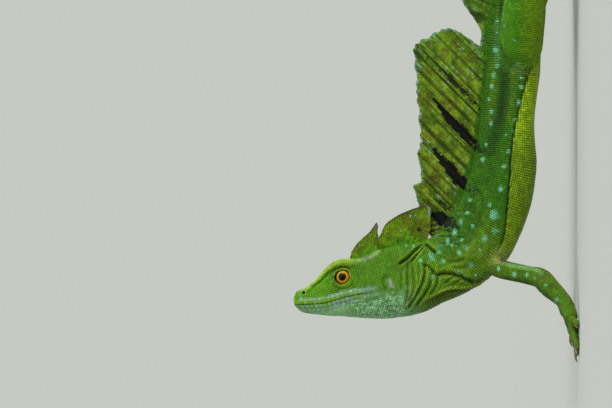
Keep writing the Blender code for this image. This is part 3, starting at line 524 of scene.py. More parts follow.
def noise(points, size, seed=0):
    """Smooth noise from -1 to 1 over places, with lumps of about that size."""
    places = points / size + 211.3 + 37.7 * seed
    low = np.floor(places).astype(np.int64)
    t = places - low
    t = t * t * (3 - 2 * t)
    total = np.zeros(len(points))
    for corner in np.ndindex(2, 2, 2):
        cell = low + corner
        mixed = (cell[:, 0] * 73856093) ^ (cell[:, 1] * 19349663) ^ (cell[:, 2] * 83492791)
        mixed = ((mixed ^ (mixed >> 13)) * 1274126177) & 0xFFFFFFFF
        share = np.prod(np.where(np.array(corner) == 1, t, 1 - t), axis=1)
        total += share * (mixed / 2**31 - 1)
    return total


def mid_points():
    """The mid line as a point every millimetre, as the solids have it."""
    trunk = rows_at(MID_LINE, np.arange(0, TAIL_START + 1))
    points = [np.array((x, 0.0, z)) for x, z in trunk]
    far = np.arange(TAIL_START + 1, TAIL_END + 1)
    drops = rows_at(TAIL_DROP, far)[:, 0]
    depths = rows_at(BODY_SECTIONS, far)[:, 1] - 0.25
    headings = np.radians(rows_at(TAIL_HEADING, far)[:, 0])
    for drop, depth, heading in zip(drops, depths, headings):
        last = points[-1]
        z = max(drop, depth)
        level = math.sqrt(max(1 - (z - last[2]) ** 2, 0))
        x, y = last[0] + level * math.cos(heading), last[1] + level * math.sin(heading)
        points.append(np.array((x, y, z)))
    return np.array(points)


MID_POINTS = mid_points()


def mid(far):
    axis = np.arange(len(MID_POINTS))
    return np.stack([np.interp(far, axis, MID_POINTS[:, k]) for k in range(3)], axis=-1)


def frames(far):
    """The mid line's places, and its directions to the tail, to the back and to the right."""
    far = np.asarray(far, float)
    low, high = np.maximum(far - 2, 0), np.minimum(far + 2, TAIL_END)
    tailward = unit(mid(high) - mid(low))
    right = unit(np.stack([-tailward[:, 1], tailward[:, 0], np.zeros(len(tailward))], axis=1))
    return mid(far), tailward, np.cross(tailward, right), right


def section_corners(far):
    """The eight corners of the sections, as half width and height, from the back's middle round the
    right."""
    head = rows_at(HEAD_SECTIONS, far)
    first = HEAD_SECTIONS[-1]
    roof, throat, width = rows_at([(*first[:3], first[5])] + BODY_SECTIONS, far).T
    trunk = [roof, throat, BACK_SHOULDER[0] * width, BACK_SHOULDER[1] * roof, width, FLANK_HEIGHT * throat]
    trunk += [BELLY_CORNER[0] * width, BELLY_CORNER[1] * throat]
    value = np.where((far <= first[0])[:, None], head, np.stack(trunk, axis=1))
    none = np.zeros(len(far))
    right = [value[:, 2 + 2 * k : 4 + 2 * k] for k in range(3)]
    left = [side * (-1, 1) for side in reversed(right)]
    top, bottom = np.stack([none, value[:, 0]], axis=1), np.stack([none, -value[:, 1]], axis=1)
    return np.stack([top] + right + [bottom] + left, axis=1)


GRID_STEP = 0.5
GRID_SIDES = 256


def outline_grid():
    """Every section's outline at even steps round it, with the outward direction there."""
    far = np.arange(0, TAIL_END + GRID_STEP / 2, GRID_STEP)
    corners = section_corners(far)
    t = np.linspace(0, 1, 24, endpoint=False)[None, :, None]
    runs = []
    for k in range(8):
        p0, p1, p2, p3 = (corners[:, (k + j - 1) % 8][:, None] for j in range(4))
        bend, twist = 2 * p0 - 5 * p1 + 4 * p2 - p3, 3 * p1 - p0 - 3 * p2 + p3
        runs.append(0.5 * (2 * p1 + (p2 - p0) * t + bend * t**2 + twist * t**3))
    dense = join(runs + [corners[:, :1]], axis=1)
    lengths = np.cumsum(np.linalg.norm(np.diff(dense, axis=1), axis=2), axis=1)
    lengths = join([np.zeros((len(dense), 1)), lengths], axis=1)
    share = np.linspace(0, 1, GRID_SIDES + 1)
    even = np.empty((len(dense), GRID_SIDES + 1, 2))
    for row in range(len(dense)):
        for k in range(2):
            even[row, :, k] = np.interp(share * lengths[row, -1], lengths[row], dense[row, :, k])
    run = np.roll(even[:, :-1], -1, axis=1) - np.roll(even[:, :-1], 1, axis=1)
    outward = unit(np.stack([-run[..., 1], run[..., 0]], axis=2))
    outward = join([outward, outward[:, :1]], axis=1)
    return even, outward, lengths[:, -1]


OUTLINES, OUTWARDS, GIRTHS = outline_grid()
# An outline that runs clockwise seen from the tail has its inward side where its left turn points.
if OUTWARDS[100, 0, 1] < 0:
    OUTWARDS = -OUTWARDS


def on_grid(grid, far, shares):
    """A value of the outline grid between its points."""
    i = np.clip(far / GRID_STEP, 0, len(grid) - 1.001)
    j = np.clip(np.mod(shares, 1) * GRID_SIDES, 0, GRID_SIDES - 1e-6)
    i0, j0 = i.astype(int), j.astype(int)
    ti, tj = (i - i0)[:, None], (j - j0)[:, None]
    upper = grid[i0, j0] * (1 - tj) + grid[i0, j0 + 1] * tj
    lower = grid[i0 + 1, j0] * (1 - tj) + grid[i0 + 1, j0 + 1] * tj
    return upper * (1 - ti) + lower * ti


def body_places(far, shares):
    """Places at distances along the body and shares of the way round it, with the direction outwards and
    the place in the section."""
    centre, _, back, right = frames(np.clip(far, 0, TAIL_END))
    flat = on_grid(OUTLINES, far, shares)
    out = unit(on_grid(OUTWARDS, far, shares))
    places = centre + right * flat[:, :1] + back * flat[:, 1:]
    return places, right * out[:, :1] + back * out[:, 1:], flat


def head_place(distance, height, width=0.0):
    """A place in the head's own straight frame, which runs on past the head for its crests."""
    centre, tailward, back, right = (value[0] for value in frames([HEAD_LENGTH / 2]))
    return centre + tailward * (distance - HEAD_LENGTH / 2) + back * height + right * width


def share_at(distance, height, side):
    """The share of the way round at which the body's side has a height, right (1) or left (-1)."""
    row = OUTLINES[int(round(distance / GRID_STEP)), : GRID_SIDES // 2 + 1, 1]
    share = np.interp(-height, -row, np.linspace(0, 0.5, len(row)))
    return share if side > 0 else 1 - share


def side_view(places):
    """Where places are seen in the side view that the markings are drawn on. Both sides look alike."""
    seen = np.stack([places[:, 0], -np.abs(places[:, 1]), places[:, 2]], axis=1) - VIEW_FROM
    depth = seen @ VIEW_ALONG
    across = VIEW_ALONG[2] * seen[:, 1] - VIEW_ALONG[1] * seen[:, 2]
    return VIEW_MIDDLE + VIEW_SCALE * np.stack([across / depth, -seen[:, 0] / depth], axis=1)


def from_line(points, line):
    """How far points are from a broken line, and how far along it, from 0 to 1, they are nearest."""
    line = np.array(line, float)
    best = np.full(len(points), 1e9)
    along = np.zeros(len(points))
    for i, (a, b) in enumerate(zip(line, line[1:])):
        run = b - a
        t = np.clip(((points - a) @ run) / (run @ run), 0, 1)
        gap = np.linalg.norm(points - a - t[:, None] * run, axis=1)
        closer = gap < best
        best = np.where(closer, gap, best)
        along = np.where(closer, (i + t) / (len(line) - 1), along)
    return best, along


def from_mark(points, place, halves=(1.0, 1.0)):
    """How far points are from a place, as shares of a mark's half sizes."""
    return np.hypot((points[:, 0] - place[0]) / halves[0], (points[:, 1] - place[1]) / halves[1])


def in_box(points, place, outer, inner):
    """1 inside a box's inner half sizes, and falling to 0 at its outer ones."""
    off = np.abs(points - place)
    return ease(off[:, 0], outer[0], inner[0]) * ease(off[:, 1], outer[1], inner[1])


def on_body(line):
    """A line of the side view, on the animal's flank, as distances along the body and heights above its
    mid line."""
    across, along = ((np.array(line, float) - VIEW_MIDDLE) / VIEW_SCALE).T
    reach = -VIEW_FROM[1] - FLANK_DEPTH
    rise = reach * (VIEW_ALONG[2] - across * VIEW_ALONG[1]) / (VIEW_ALONG[1] + across * VIEW_ALONG[2])
    depth = reach * VIEW_ALONG[1] + rise * VIEW_ALONG[2]
    x, z = VIEW_FROM[0] - along * depth, VIEW_FROM[2] + rise
    steps = np.arange(0, 260, 0.25)
    centre, _, back, _ = frames(steps)
    rows = []
    for px, pz in zip(x, z):
        gap = np.hypot(centre[:, 0] - px, centre[:, 2] - pz)
        k = gap.argmin()
        rows.append((steps[k], (px - centre[k, 0]) * back[k, 0] + (pz - centre[k, 2]) * back[k, 2]))
    return np.array(rows)


BELLY_ROWS = on_body(BELLY_EDGE)[::-1]
BELLY_ROWS = BELLY_ROWS[np.argsort(BELLY_ROWS[:, 0])]


def eye_frame(side):
    """The eye's centre, the way that it looks, and two directions across that."""
    _, tailward, back, right = (value[0] for value in frames([EYE[0]]))
    centre = head_place(EYE[0], EYE[1], EYE_CENTRE_WIDTH * side)
    look = unit(right * side + back * 0.13 - tailward * 0.16)
    across = unit(np.cross(look, back))
    return centre, look, across, np.cross(across, look)


def laid(colour, layers):
    """Colours with layers laid over them, each one a colour and its share from 0 to 1."""
    for tint, share in layers:
        share = np.clip(share, 0, 1)[:, None]
        colour = colour * (1 - share) + np.asarray(tint) * share
    return colour


def mix(a, b, share):
    """Colours b laid over colours a by a share from 0 to 1."""
    return laid(a, [(b, share)])


def mouth_height(far):
    return rows_at(MOUTH_LINE, far)[:, 0]


def below_throat(view):
    """How far points of the side view lie below the throat's fold, on to the hollow under it that is
    painted with shade.
    """
    line = np.array(THROAT_FOLD, float)
    order = np.argsort(line[:, 0])
    level = np.interp(view[:, 0], line[order, 0], line[order, 1], left=BELOW_ALL, right=BELOW_ALL)
    return view[:, 1] - level


def body_relief(far, places, flat):
    """How far the skin stands out from the plain body: lips, brows, nostrils, ears, cheeks and folds."""
    lift = np.full(len(far), -0.15)
    width, height = flat.T
    spot = np.column_stack([far, height])
    view = side_view(places)
    for line, half, depth in FOLDS:
        gap, along = from_line(view, line)
        gap = gap * VIEW_STEP
        beside = 0.4 * bell(gap, 2 * half, half)
        lift += between(along, 0, 0.12, 0.88, 1) * depth * (beside - bell(gap, 0, half))
    fold = below_throat(view) * VIEW_STEP
    throat = between(far, 62, 70, 88, 96)
    lift += throat * (0.8 * bell(fold, -0.9, 0.9) - 1.5 * ease(fold, -0.1, 0.9))
    shut = ease(far, 37.5, 34)
    off = height - mouth_height(far)
    for rise, reach, out in LIP_RELIEF:
        lift += shut * out * bell(off, rise, reach) * (ease(far, 0.5, 4) if out > 0 else 1)
    above_brow = height - rows_at(BROW_LINE, far)[:, 0]
    ridge = between(far, 4, 9, 31, 37) * (np.abs(width) > 1.5)
    lift += ridge * (0.3 * bell(above_brow, -0.4, 0.8) - 0.45 * bell(above_brow, -2.6, 0.8))
    nose = from_mark(spot, NOSTRIL)
    lift += 0.3 * bell(nose, 1.15, 0.45) - 0.9 * ease(nose, 0.85, 0.45)
    head = ease(far, 62, 56)
    ear = from_mark(spot, EAR, EAR_CUP)
    lift += head * (0.25 * bell(ear, 1.25, 0.25) - 0.7 * ease(ear, 1.1, 0.7))
    for place, halves, outer, inner, out in CHEEK_SWELLINGS:
        lift += out * ease(from_mark(spot, place, halves), outer, inner)
    lift -= 0.35 * belly_edge_share(far) * bell(height, belly_level(far), 0.45)
    return lift + 0.12 * noise(places, 6) * (1 - 0.6 * head) + 0.05 * noise(places, 2.2, 3)


def lid_reach(places, side):
    """How far places lie from the eye's axis, as if the rounded square of its opening were round, how far
    out along it, and how much to the front of it, from -1 to 1."""
    centre, look, _, _ = eye_frame(side)
    from_eye = places - centre
    out = from_eye @ look
    flat = from_eye - out[:, None] * look
    radius = np.linalg.norm(flat, axis=1)
    _, tailward, back, _ = (value[0] for value in frames([EYE[0]]))
    frontward = -(flat @ tailward) / np.maximum(radius, 1e-6)
    upward = flat @ back / np.maximum(radius, 1e-6)
    rear_below = ease(-frontward, 0, 0.4) * ease(-upward, 0, 0.4)
    corner = (2 * frontward * upward) ** 2 * (1 - 0.85 * rear_below)
    drawn_out = 0.42 * (ease(frontward, 0.7, 1) + corner) * ease(radius, 5.5, 3.5)
    return radius - drawn_out, out, frontward


def shape_eyes(places, far):
    """Moves the skin round each eye on to lids that wrap the eyeball, with a hole that it shows in."""
    near = np.flatnonzero((far > 15) & (far < 38))
    for side in (-1, 1):
        look = eye_frame(side)[1]
        radius, out, _ = lid_reach(places[near], side)
        shown = (radius < 7) & (out > -1)
        ball = np.sqrt(np.maximum((EYE_RADIUS + 0.45) ** 2 - radius**2, 0))
        softness = 0.35
        top = np.maximum(out, ball) + softness * np.exp(-((out - ball) ** 2) / softness) * 0.5
        for beyond, reach, stands in LID_FOLDS:
            top += stands * bell(radius, EYE_OPENING + beyond, reach)
        hole = ease(radius, EYE_OPENING + 0.1, EYE_OPENING - 0.3)
        top = top * (1 - hole) + 1.2 * hole
        keep = ease(radius, 6.8, 5.6)
        move = np.where(shown, (top - out) * keep, 0.0)
        places[near] += move[:, None] * look
    return places


def lay_spots(colour, view, spots, strength):
    """Lays turquoise spots, paler in their middles and a little ragged, over colours."""
    ragged = 0.35 * noise(np.column_stack([view, view[:, :1] * 0]), 2.6, 41)
    for x, y, half in spots:
        gap = np.hypot(view[:, 0] - x, (view[:, 1] - y) * 0.85) / half + ragged
        near = gap < 1.4
        if near.any():
            shown = strength[near] * ease(gap[near], 1.25, 0.65)
            centre = strength[near] * ease(gap[near], 0.7, 0.1)
            colour[near] = mix(mix(colour[near], SPOT_TURQUOISE, 0.92 * shown), SPOT_PALE, 0.6 * centre)
    return colour


def hollow_layers(view, places):
    """The pale soft skin of the armpit and groin, and the painted shadow line before the thigh."""
    armpit = from_mark(view, *ARMPIT) + 2 * noise(places, 3, 17)
    yield PALE_ARM, 0.85 * ease(armpit, 11.5, 4)
    yield SOFT_PINK, 0.55 * ease(from_mark(view, *ARMPIT_PINK), 1.2, 0.4)
    yield FOLD_BROWN, 0.55 * ease(from_line(view, ARMPIT_FOLD)[0], 3, 0.8)
    # Painted shadow before the thigh.
    gap, along = from_line(view, THIGH_SHADOW_LINE)
    yield SHADE_GREEN, 0.6 * ease(gap, 3.2, 0.6) * between(along, 0, 0.3, 0.85, 1)
    gap, along = from_line(view, GROIN)
    groin = ease(gap + 0.8 * noise(places, 2, 20), 3.4, 0.8) * between(along, 0, 0.12, 0.88, 1)
    yield PALE_ARM, 0.55 * groin


def fold_layers(view, far):
    """Painted shade in the folds' bottoms and painted highlight on the ridges beside them."""
    for line, half, depth in FOLDS:
        gap, along = from_line(view, line)
        gap = gap * VIEW_STEP
        ends = between(along, 0, 0.1, 0.9, 1)
        ridge = min(1, depth) * bell(gap, 1.9 * half, 0.8 * half)
        # Painted highlight on the ridges, and painted shade in the folds' bottoms.
        yield RIDGE_HIGHLIGHT, 0.32 * ends * ridge
        yield DARK, ends * min(0.95, 0.75 * depth) * bell(gap, 0, 0.62 * half)
    fold = below_throat(view) * VIEW_STEP
    throat = between(far, 62, 69, 90, 98)
    # Painted highlight above the throat's fold, and painted shade in it and below it.
    yield RIDGE_HIGHLIGHT, 0.8 * throat * bell(fold, -1, 0.8)
    yield THROAT_SHADE_OLIVE, 0.95 * throat * ease(fold, -0.4, 0.4)
    yield DARK, 0.7 * throat * bell(fold, 0.25, 0.4)


def ground_layers(far, height, view, blotch, fine):
    """The greens of head, neck, back, flank and belly with their painted shade, without their marks."""
    roof = rows_at([row[:2] for row in HEAD_SECTIONS + BODY_SECTIONS], far)[:, 0]
    above_edge = height - belly_level(far)
    yield SHADE_GREEN, 0.4 * ease(blotch, 0, 0.7)
    yield BACK_GREEN, ease(height / roof, 0.35, 0.9)
    yield CHEST_GREEN, 0.75 * ease(far, 118, 95) * ease(height, 8, 0)
    # Painted shade along the flank and back.
    for line, half, strength in SHADES:
        gap = from_line(view, line)[0]
        yield SHADE_GREEN, strength * ease(gap, half * 1.3, half * 0.3)
    belly = ease(above_edge, 0.5, -0.6) * ease(far, 92, 104)
    light = 0.34 + 0.7 * ease(far, 143, 165) + 0.32 * ease(far, 118, 102)
    light = light - 0.6 * ease(far, 188, 212)
    yield BELLY_GREEN, belly
    yield BELLY_YELLOW, belly * light * (0.85 + 0.15 * fine)
    yield DARK, 0.8 * bell(above_edge, 0.2, 0.62) * belly_edge_share(far)
    yield NECK_GREEN, 0.85 * ease(far, 88, 72)
    yield CHEEK_GREEN, ease(far, 60, 50)
    yield SNOUT_GREEN, ease(far, 24, 14)


def chin_layers(far, height, places):
    """The pale front of the chin and the pale grains of the throat."""
    throat = ease(height, -4.5, -7.5) * between(far, 3, 12, 50, 68)
    rear = ease(far, 22, 36)
    yield CHIN_PALE * 0.75, 0.85 * throat * (1 - rear)
    yield CHIN_DARK, 0.95 * throat * rear
    grains = 0.12 + 0.88 * ease(noise(places, 0.8, 12), -0.4, 0.4)
    edge = ease(noise(places, 4, 18) * 3 + height, -3.2, -5.4)
    grains = grains * np.maximum(throat, 0.6 * edge) * rear * ease(far, 64, 48)
    yield CHIN_PALE, 0.75 * grains


def head_layers(far, flat, view, places):
    """The marks of the head: lips, brow, temple, ear, nostril and the lids' rims, with painted shade
    under the brow, in the nostril, in the lids' crease and round the eye's opening.
    """
    width, height = flat.T
    head = far < 62
    olive = ease(from_mark(view, *OLIVE_MARK), 1.15, 0.6) * (far < 60)
    yield CHEEK_OLIVE, 0.75 * olive
    yield from lip_layers(far, height)
    above_brow = height - rows_at(BROW_LINE, far)[:, 0]
    light = between(far, 2, 8, 30, 37) * ease(above_brow, -1.7, -0.3)
    light = light * (0.75 + 0.25 * noise(places, 1.6, 13)) * (0.3 + 0.7 * ease(np.abs(width), 0.8, 3.2))
    yield BROW_YELLOW, 0.85 * light
    gap, along = from_line(view, TEMPLE_STREAK)
    streak = ease(gap, 2 + 2.4 * along, 0.4) * between(along, 0, 0.25, 0.85, 1.05)
    yield TEMPLE_PALE, 0.6 * streak * (far < 60)
    # Painted shade under the brow.
    gap, along = from_line(view, UNDER_BROW_SHADE)
    shade = ease(gap, 2.2, 0.5) * between(along, 0, 0.15, 0.8, 1)
    yield SHADE_GREEN, 0.55 * shade * (far < 40)
    ear = from_line(view, EAR_MARK)[0] + 1.2 * noise(places, 1.1, 14)
    yield EAR_GREY, 0.8 * ease(ear, 4.2, 0.6) * head
    ragged = 0.4 * noise(places, 1.1, 39)
    for x, y, half, tint in HEAD_MARKS:
        mark = from_mark(view, (x, y), (half, half)) + ragged
        yield tint, 0.65 * ease(mark, 1.1, 0.4) * head
    nose = from_mark(np.column_stack([far, height]), NOSTRIL)
    yield NOSTRIL_RIM, 0.6 * ease(nose, 1.9, 1)
    # Painted shade in the nostril.
    yield DARK, ease(nose, 1, 0.75)
    for side in (-1, 1):
        radius, out, frontward = lid_reach(places, side)
        near = (far < 40) & (out > -1)
        beyond = radius - EYE_OPENING
        corner = ease(frontward, 0.86, 0.98) * ease(radius, 4.1, 3.9)
        yield LID_YELLOW, 0.85 * ease(np.abs(beyond - 0.35), 0.55, 0.15) * near
        # Painted shade in the lids' crease, at the edge of the opening and in its front corner.
        yield DARK, 0.45 * bell(beyond, 1.15, 0.25) * near
        yield DARK, (ease(beyond, 0.12, -0.05) + corner) * near


def neck_layers(far, view, places):
    """The lower ends of the sail's slots, blue clouds behind the head and the nape's painted shadow."""
    broken = ease(noise(places, 0.9, 43), -0.25, 0.15) * (far > 90)
    ragged = 1.6 * noise(places, 1.4, 42)
    for line, half, _ in SAIL_STREAKS[:3]:
        gap, along = from_line(view, line)
        slot = ease(gap + ragged, 0.8 * half, 0.8 * half - 1) * ease(along, 1, 0.92)
        yield DARK, 0.85 * broken * slot
    clouds = ease(noise(places, 1.8, 16), 0.3, 0.6) * (far > 62)
    yield CLOUD_BLUE, 0.5 * in_box(view, *NECK_CLOUDS) * clouds
    # Painted shadow at the nape.
    gap, along = from_line(view, NAPE_SHADOW_LINE)
    half = 6.2 * ease(along, 1.15, 0.6) + 2.8 * noise(places, 1, 15)
    flecks = 1 - 0.85 * ease(noise(places, 0.9, 44), -0.1, 0.25) * ease(along, 0.62, 0.78)
    black = 0.95 * flecks * ease(gap, half + 0.4, half - 0.6) * ease(along, 1, 0.9)
    yield NAPE_SHADOW_BLACK, black


def body_layers(far, flat, view, places, blotch, fine):
    """The body's colours as layers, up to its spots."""
    yield from ground_layers(far, flat[:, 1], view, blotch, fine)
    yield from chin_layers(far, flat[:, 1], places)
    yield LILAC, 0.55 * ease(from_mark(view, *LILAC_MARK), 3.2, 1.2) * (far > 60)
    yield from head_layers(far, flat, view, places)
    yield from fold_layers(view, far)
    yield from neck_layers(far, view, places)
    yield from hollow_layers(view, places)


def paint_body(far, places, flat):
    """The colour of the skin and scales of the head, trunk and tail."""
    view = side_view(places)
    blotch, fine = noise(places, 9, 1), noise(places, 2.5, 2)
    colour = np.tile(FLANK_GREEN, (len(far), 1))
    colour = laid(colour, body_layers(far, flat, view, places, blotch, fine))
    colour = lay_spots(colour, view, SPOTS, ease(far, 275, 255) * (far > 56))
    bands = ease(np.sin(2 * np.pi * far / 34) + 0.35 * fine, 0.1, 0.6)
    colour = mix(colour, TAIL_BROWN, 0.8 * bands * ease(far, 230, 330))
    colour = mix(colour, TAIL_GREY, 0.6 * ease(far, 430, 640))
    return colour * (1 + 0.12 * fine + 0.08 * blotch)[:, None]


def belly_edge_share(far):
    """How clearly the belly's edge shows along the body."""
    return ease(far, 97, 106) * ease(far, 200, 178)


def belly_level(far):
    """The height on the flank where the belly's larger scales begin."""
    level = np.interp(far, BELLY_ROWS[:, 0], BELLY_ROWS[:, 1])
    return np.where(far > 196, -0.55 * rows_at(BODY_SECTIONS, far)[:, 1], level)


def lip_layers(far, height):
    """Yellow-green and pale blue plates along the mouth, with painted shade in the slit between the lips.
    """
    off = height - mouth_height(far)
    shut = ease(far, 39, 33)
    upper = between(off, -0.2, 0.2, 2.4, 3.6) * ease(far, 38, 24)
    yield LIP_YELLOW * 0.9, 0.8 * shut * upper
    yield LOWER_LIP, 0.85 * shut * between(off, -4.4, -3.2, -0.2, 0.2)
    blue = shut * bell(off, 2.5, 0.8) * ease(far, 5, 12)
    rear = bell(off, 1.6, 1.2) * between(far, 22, 30, 38, 46)
    below = 0.7 * bell(off, -1.6, 1.1) * between(far, 32, 38, 43, 49)
    yield LIP_BLUE * 0.9, 0.65 * np.maximum(blue, np.maximum(rear, below))
    yield LIP_BLUE * 0.7, 0.5 * shut * bell(off, -3.1, 0.8)
    # Painted shade in the slit between the lips.
    yield DARK, 0.8 * shut * bell(off, 0, 0.22)


def limb_curve(joints, sizes):
    """A limb's table along its length: distance, place, half width and half thickness."""
    rows = []
    run = 0.0
    for i, (joint, size) in enumerate(zip(joints, sizes)):
        if i:
            run += math.dist(joint, joints[i - 1])
        rows.append((run, *joint, *size))
    return rows


def with_elbow(joints):
    """An arm's joints and thicknesses, with a closer bend at its elbow and a slimmer upper part."""
    shoulder, elbow, wrist = (np.array(joint) for joint in joints[1:4])
    above, below = elbow + 0.3 * (shoulder - elbow), elbow + 0.32 * (wrist - elbow)
    bones = [*joints[:2], tuple(above), joints[2], tuple(below), *joints[3:]]
    return bones, ELBOW_THICKNESS + ARM_THICKNESS[3:]


def ring_points(centre, run, wide, tall, sides):
    """Rings of points round a curve, from its places, directions, half widths and half heights."""
    level = unit(np.cross(run, (0, 0, 1)))
    rise = np.cross(level, run)
    angle = 2 * np.pi * np.arange(sides) / sides
    return (
        centre[:, None]
        + level[:, None] * (wide[:, None] * np.cos(angle))[..., None]
        + rise[:, None] * (tall[:, None] * np.sin(angle))[..., None]
    )


def rounded_end(far, last, reach):
    """Scale factors that close a tube with a rounded end over the reach."""
    t = np.clip((far - last + reach) / reach, 0, 1)
    return np.sqrt(np.maximum(1 - t**2, 0))


def limb_grid(joints, sizes, swell):
    """The surface of an arm or leg as rings of points, thicker at its muscles, and their distances."""
    rows = limb_curve(joints, sizes)
    length = rows[-1][0]
    reach = 3.0
    even = np.arange(0, length - reach, LIMB_STEP)
    far = join([even, length - reach + np.array(LIMB_END_STEPS), [length + 0.001]])
    value = rows_at(rows, np.minimum(far, length))
    ahead = rows_at(rows, np.minimum(far + 0.6, length))
    run = unit(ahead[:, :3] - rows_at(rows, np.maximum(far - 0.6, 0))[:, :3])
    factor = rounded_end(far, length, reach)
    factor[0] = 0.0
    for place, wide, more in swell:
        factor = factor * (1 + more * bell(far / length, place, wide))
    return ring_points(value[:, :3], run, value[:, 3] * factor, value[:, 4] * factor, LIMB_SIDES), far


def level_direction(angle, side):
    """The level direction that lies an angle outwards from straight ahead."""
    turn = math.radians(angle)
    return np.array((-math.cos(turn), -math.sin(turn) if side == "left" else math.sin(turn), 0.0))


def digit_grid(root, heading, length, radii):
    """A finger's or toe's surface: arched from the knuckle, with swollen joints and a round end."""
    t = join([np.linspace(0, 0.93, 26), [0.955, 0.975, 0.99, 1]])
    radius = radii[0] + (radii[1] - radii[0]) * t
    joints = 1 + 0.13 * np.cos(2 * np.pi * (t * 3.2 - 0.1)) * ease(t, 0.05, 0.25)
    arch = 0.9 * np.sin(np.pi * np.minimum(t * 1.25, 1))
    height = root[2] + (radius - 0.15 - root[2]) * np.minimum(t * 1.6, 1) + arch
    centre = np.array((root[0], root[1], 0.0)) + heading * (length * t)[:, None]
    centre[:, 2] += height
    run = unit(np.gradient(centre, axis=0))
    close = np.sqrt(np.maximum(1 - np.clip((t - 0.93) / 0.07, 0, 1) ** 2, 0))
    close[0] = 0.0
    thick = radius * joints * close
    return ring_points(centre, run, thick, thick * 0.95, DIGIT_SIDES), t * length


def digit_plan():
    """Every finger and toe: its limb, the place of its root, direction, length and radii."""
    plan = []
    for limb, joints, digits, turns, radii in (
        ("arm", ARM_JOINTS, FINGERS, HAND_TURN, FINGER_RADIUS),
        ("leg", LEG_JOINTS, TOES, FOOT_TURN, TOE_RADIUS),
    ):
        for side in ("left", "right"):
            palm = np.array(joints[side][-1])
            ahead = level_direction(turns[side], side)
            for spread, length in digits:
                heading = level_direction(turns[side] + spread, side)
                root = palm - ahead * 2 * DIGIT_ROOT + heading * DIGIT_ROOT
                root[2] = palm[2]
                plan.append((limb, root, heading, length + DIGIT_ROOT, radii))
    return plan


def arm_layers(view, turn, places):
    """The marks of the upper arm and forearm, with a painted highlight along the top and painted shade
    below.
    """
    yield ARM_INSIDE, 0.8 * ease(np.cos(turn), 0.1, 0.9)
    # Painted highlight along the top of the arm.
    gap, run = from_line(view, ARM_HIGHLIGHT_LINE)
    yield ARM_TOP_HIGHLIGHT, 0.65 * ease(gap, 3.4, 0.8) * ease(run, 1, 0.8)
    bend = from_mark(view, *ELBOW_MARK) + 0.5 * noise(places, 1.8, 19)
    yield ELBOW_OLIVE, 0.55 * ease(bend, 1, 0.3)
    # Painted shade along the arm's underside.
    yield ARM_SHADE, 0.6 * ease(from_line(view, ARM_UNDERSIDE)[0], 5, 0.5)


def leg_layers(view, along):
    """The yellower knee and the browner shin."""
    yield KNEE_YELLOW, 0.75 * ease(along, 60, 40) * ease(view[:, 0], *THIGH_LIGHT)
    yield SHIN_OLIVE, 0.6 * ease(along, 55, 95)


def paint_limb(places, shares, along, limb, side):
    """The colour of a limb: green, yellower below, with faint darker patches and a few spots."""
    view = side_view(places)
    turn = 2 * np.pi * (shares if side == "left" else np.mod(0.5 - shares, 1.0))
    colour = np.tile(ARM_GREEN if limb == "arm" else THIGH_GREEN, (len(places), 1))
    colour = mix(colour, SHADE_GREEN, 0.3 * ease(noise(places, 7, 6), 0, 0.7))
    colour = mix(colour, LIMB_BELOW, 0.75 * ease(np.sin(turn), 0, -0.9))
    colour = laid(colour, arm_layers(view, turn, places) if limb == "arm" else leg_layers(view, along))
    colour = laid(colour, hollow_layers(view, places))
    if limb == "arm":
        colour = lay_spots(colour, view, ARM_SPOTS, np.ones(len(view)))
    else:
        colour = lay_spots(colour, view, LEG_SPOTS, ease(along, 60, 40))
        flecks = ease(noise(places, 3.4, 9), 0.58, 0.72) * ease(along, 30, 45)
        colour = mix(colour, SPOT_TURQUOISE, 0.7 * flecks)
    return colour * (1 + 0.14 * noise(places, 2.2, 5))[:, None]


def paint_digit(places, along):
    """The colour of a finger or toe: green, browner to its end, with faint dark bands."""
    colour = np.tile(DIGIT_GREEN, (len(places), 1))
    colour = mix(colour, DIGIT_OLIVE, 0.6 * ease(along, 8, 30))
    colour = mix(colour, DIGIT_BAND, 0.45 * ease(np.sin(2 * np.pi * along / 5.2), 0.3, 0.9))
    return colour * (1 + 0.15 * noise(places, 1.5, 5))[:, None]


def metres(places):
    return (np.asarray(places) + PLACE) * MM


def mesh_of(shape, name):
    """A mesh made from a shape that is then let go."""
    mesh = bpy.data.meshes.new(name)
    shape.to_mesh(mesh)
    shape.free()
    return mesh


def grid_mesh(name, rings):
    """A closed mesh from rings of points, made from a flat grid that is wrapped round and welded."""
    rows, sides = rings.shape[:2]
    shape = bmesh.new()
    bmesh.ops.create_grid(shape, x_segments=sides, y_segments=rows - 1, size=1.0)
    mesh = mesh_of(shape, name)
    wrapped = join([rings, rings[:, :1]], axis=1)
    mesh.vertices.foreach_set("co", wrapped.reshape(-1))
    shape = bmesh.new()
    shape.from_mesh(mesh)
    bmesh.ops.remove_doubles(shape, verts=shape.verts, dist=0.002)
    rims = [edge for edge in shape.edges if edge.is_boundary]
    if rims:
        bmesh.ops.holes_fill(shape, edges=rims, sides=0)
    bmesh.ops.recalc_face_normals(shape, faces=shape.faces)
    shape.to_mesh(mesh)
    shape.free()
    mesh.update()
    return mesh


def in_scene(name, data, group=None):
    """A new object in the scene, or in a group of its own."""
    thing = bpy.data.objects.new(name, data)
    (group or bpy.context.scene.collection).objects.link(thing)
    return thing


def show(mesh, material, nodes=()):
    """Puts a finished mesh, still in millimetres, in the scene as a piece of the animal."""
    mesh.transform(Matrix.Scale(MM, 4) @ Matrix.Translation(Vector(PLACE)))
    mesh.materials.clear()
    mesh.materials.append(material)
    piece = in_scene(mesh.name, mesh)
    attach(piece, "root")
    if nodes:
        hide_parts(*nodes)
    return piece


def set_colours(mesh, colours):
    """Stores one colour for each vertex in the attribute that the materials read."""
    layer = mesh.attributes.get("markings") or mesh.attributes.new("markings", "FLOAT_COLOR", "POINT")
    full = np.ones((len(mesh.vertices), 4), np.float32)
    full[:, :3] = np.clip(colours, 0, 1)
    layer.data.foreach_set("color", full.reshape(-1))


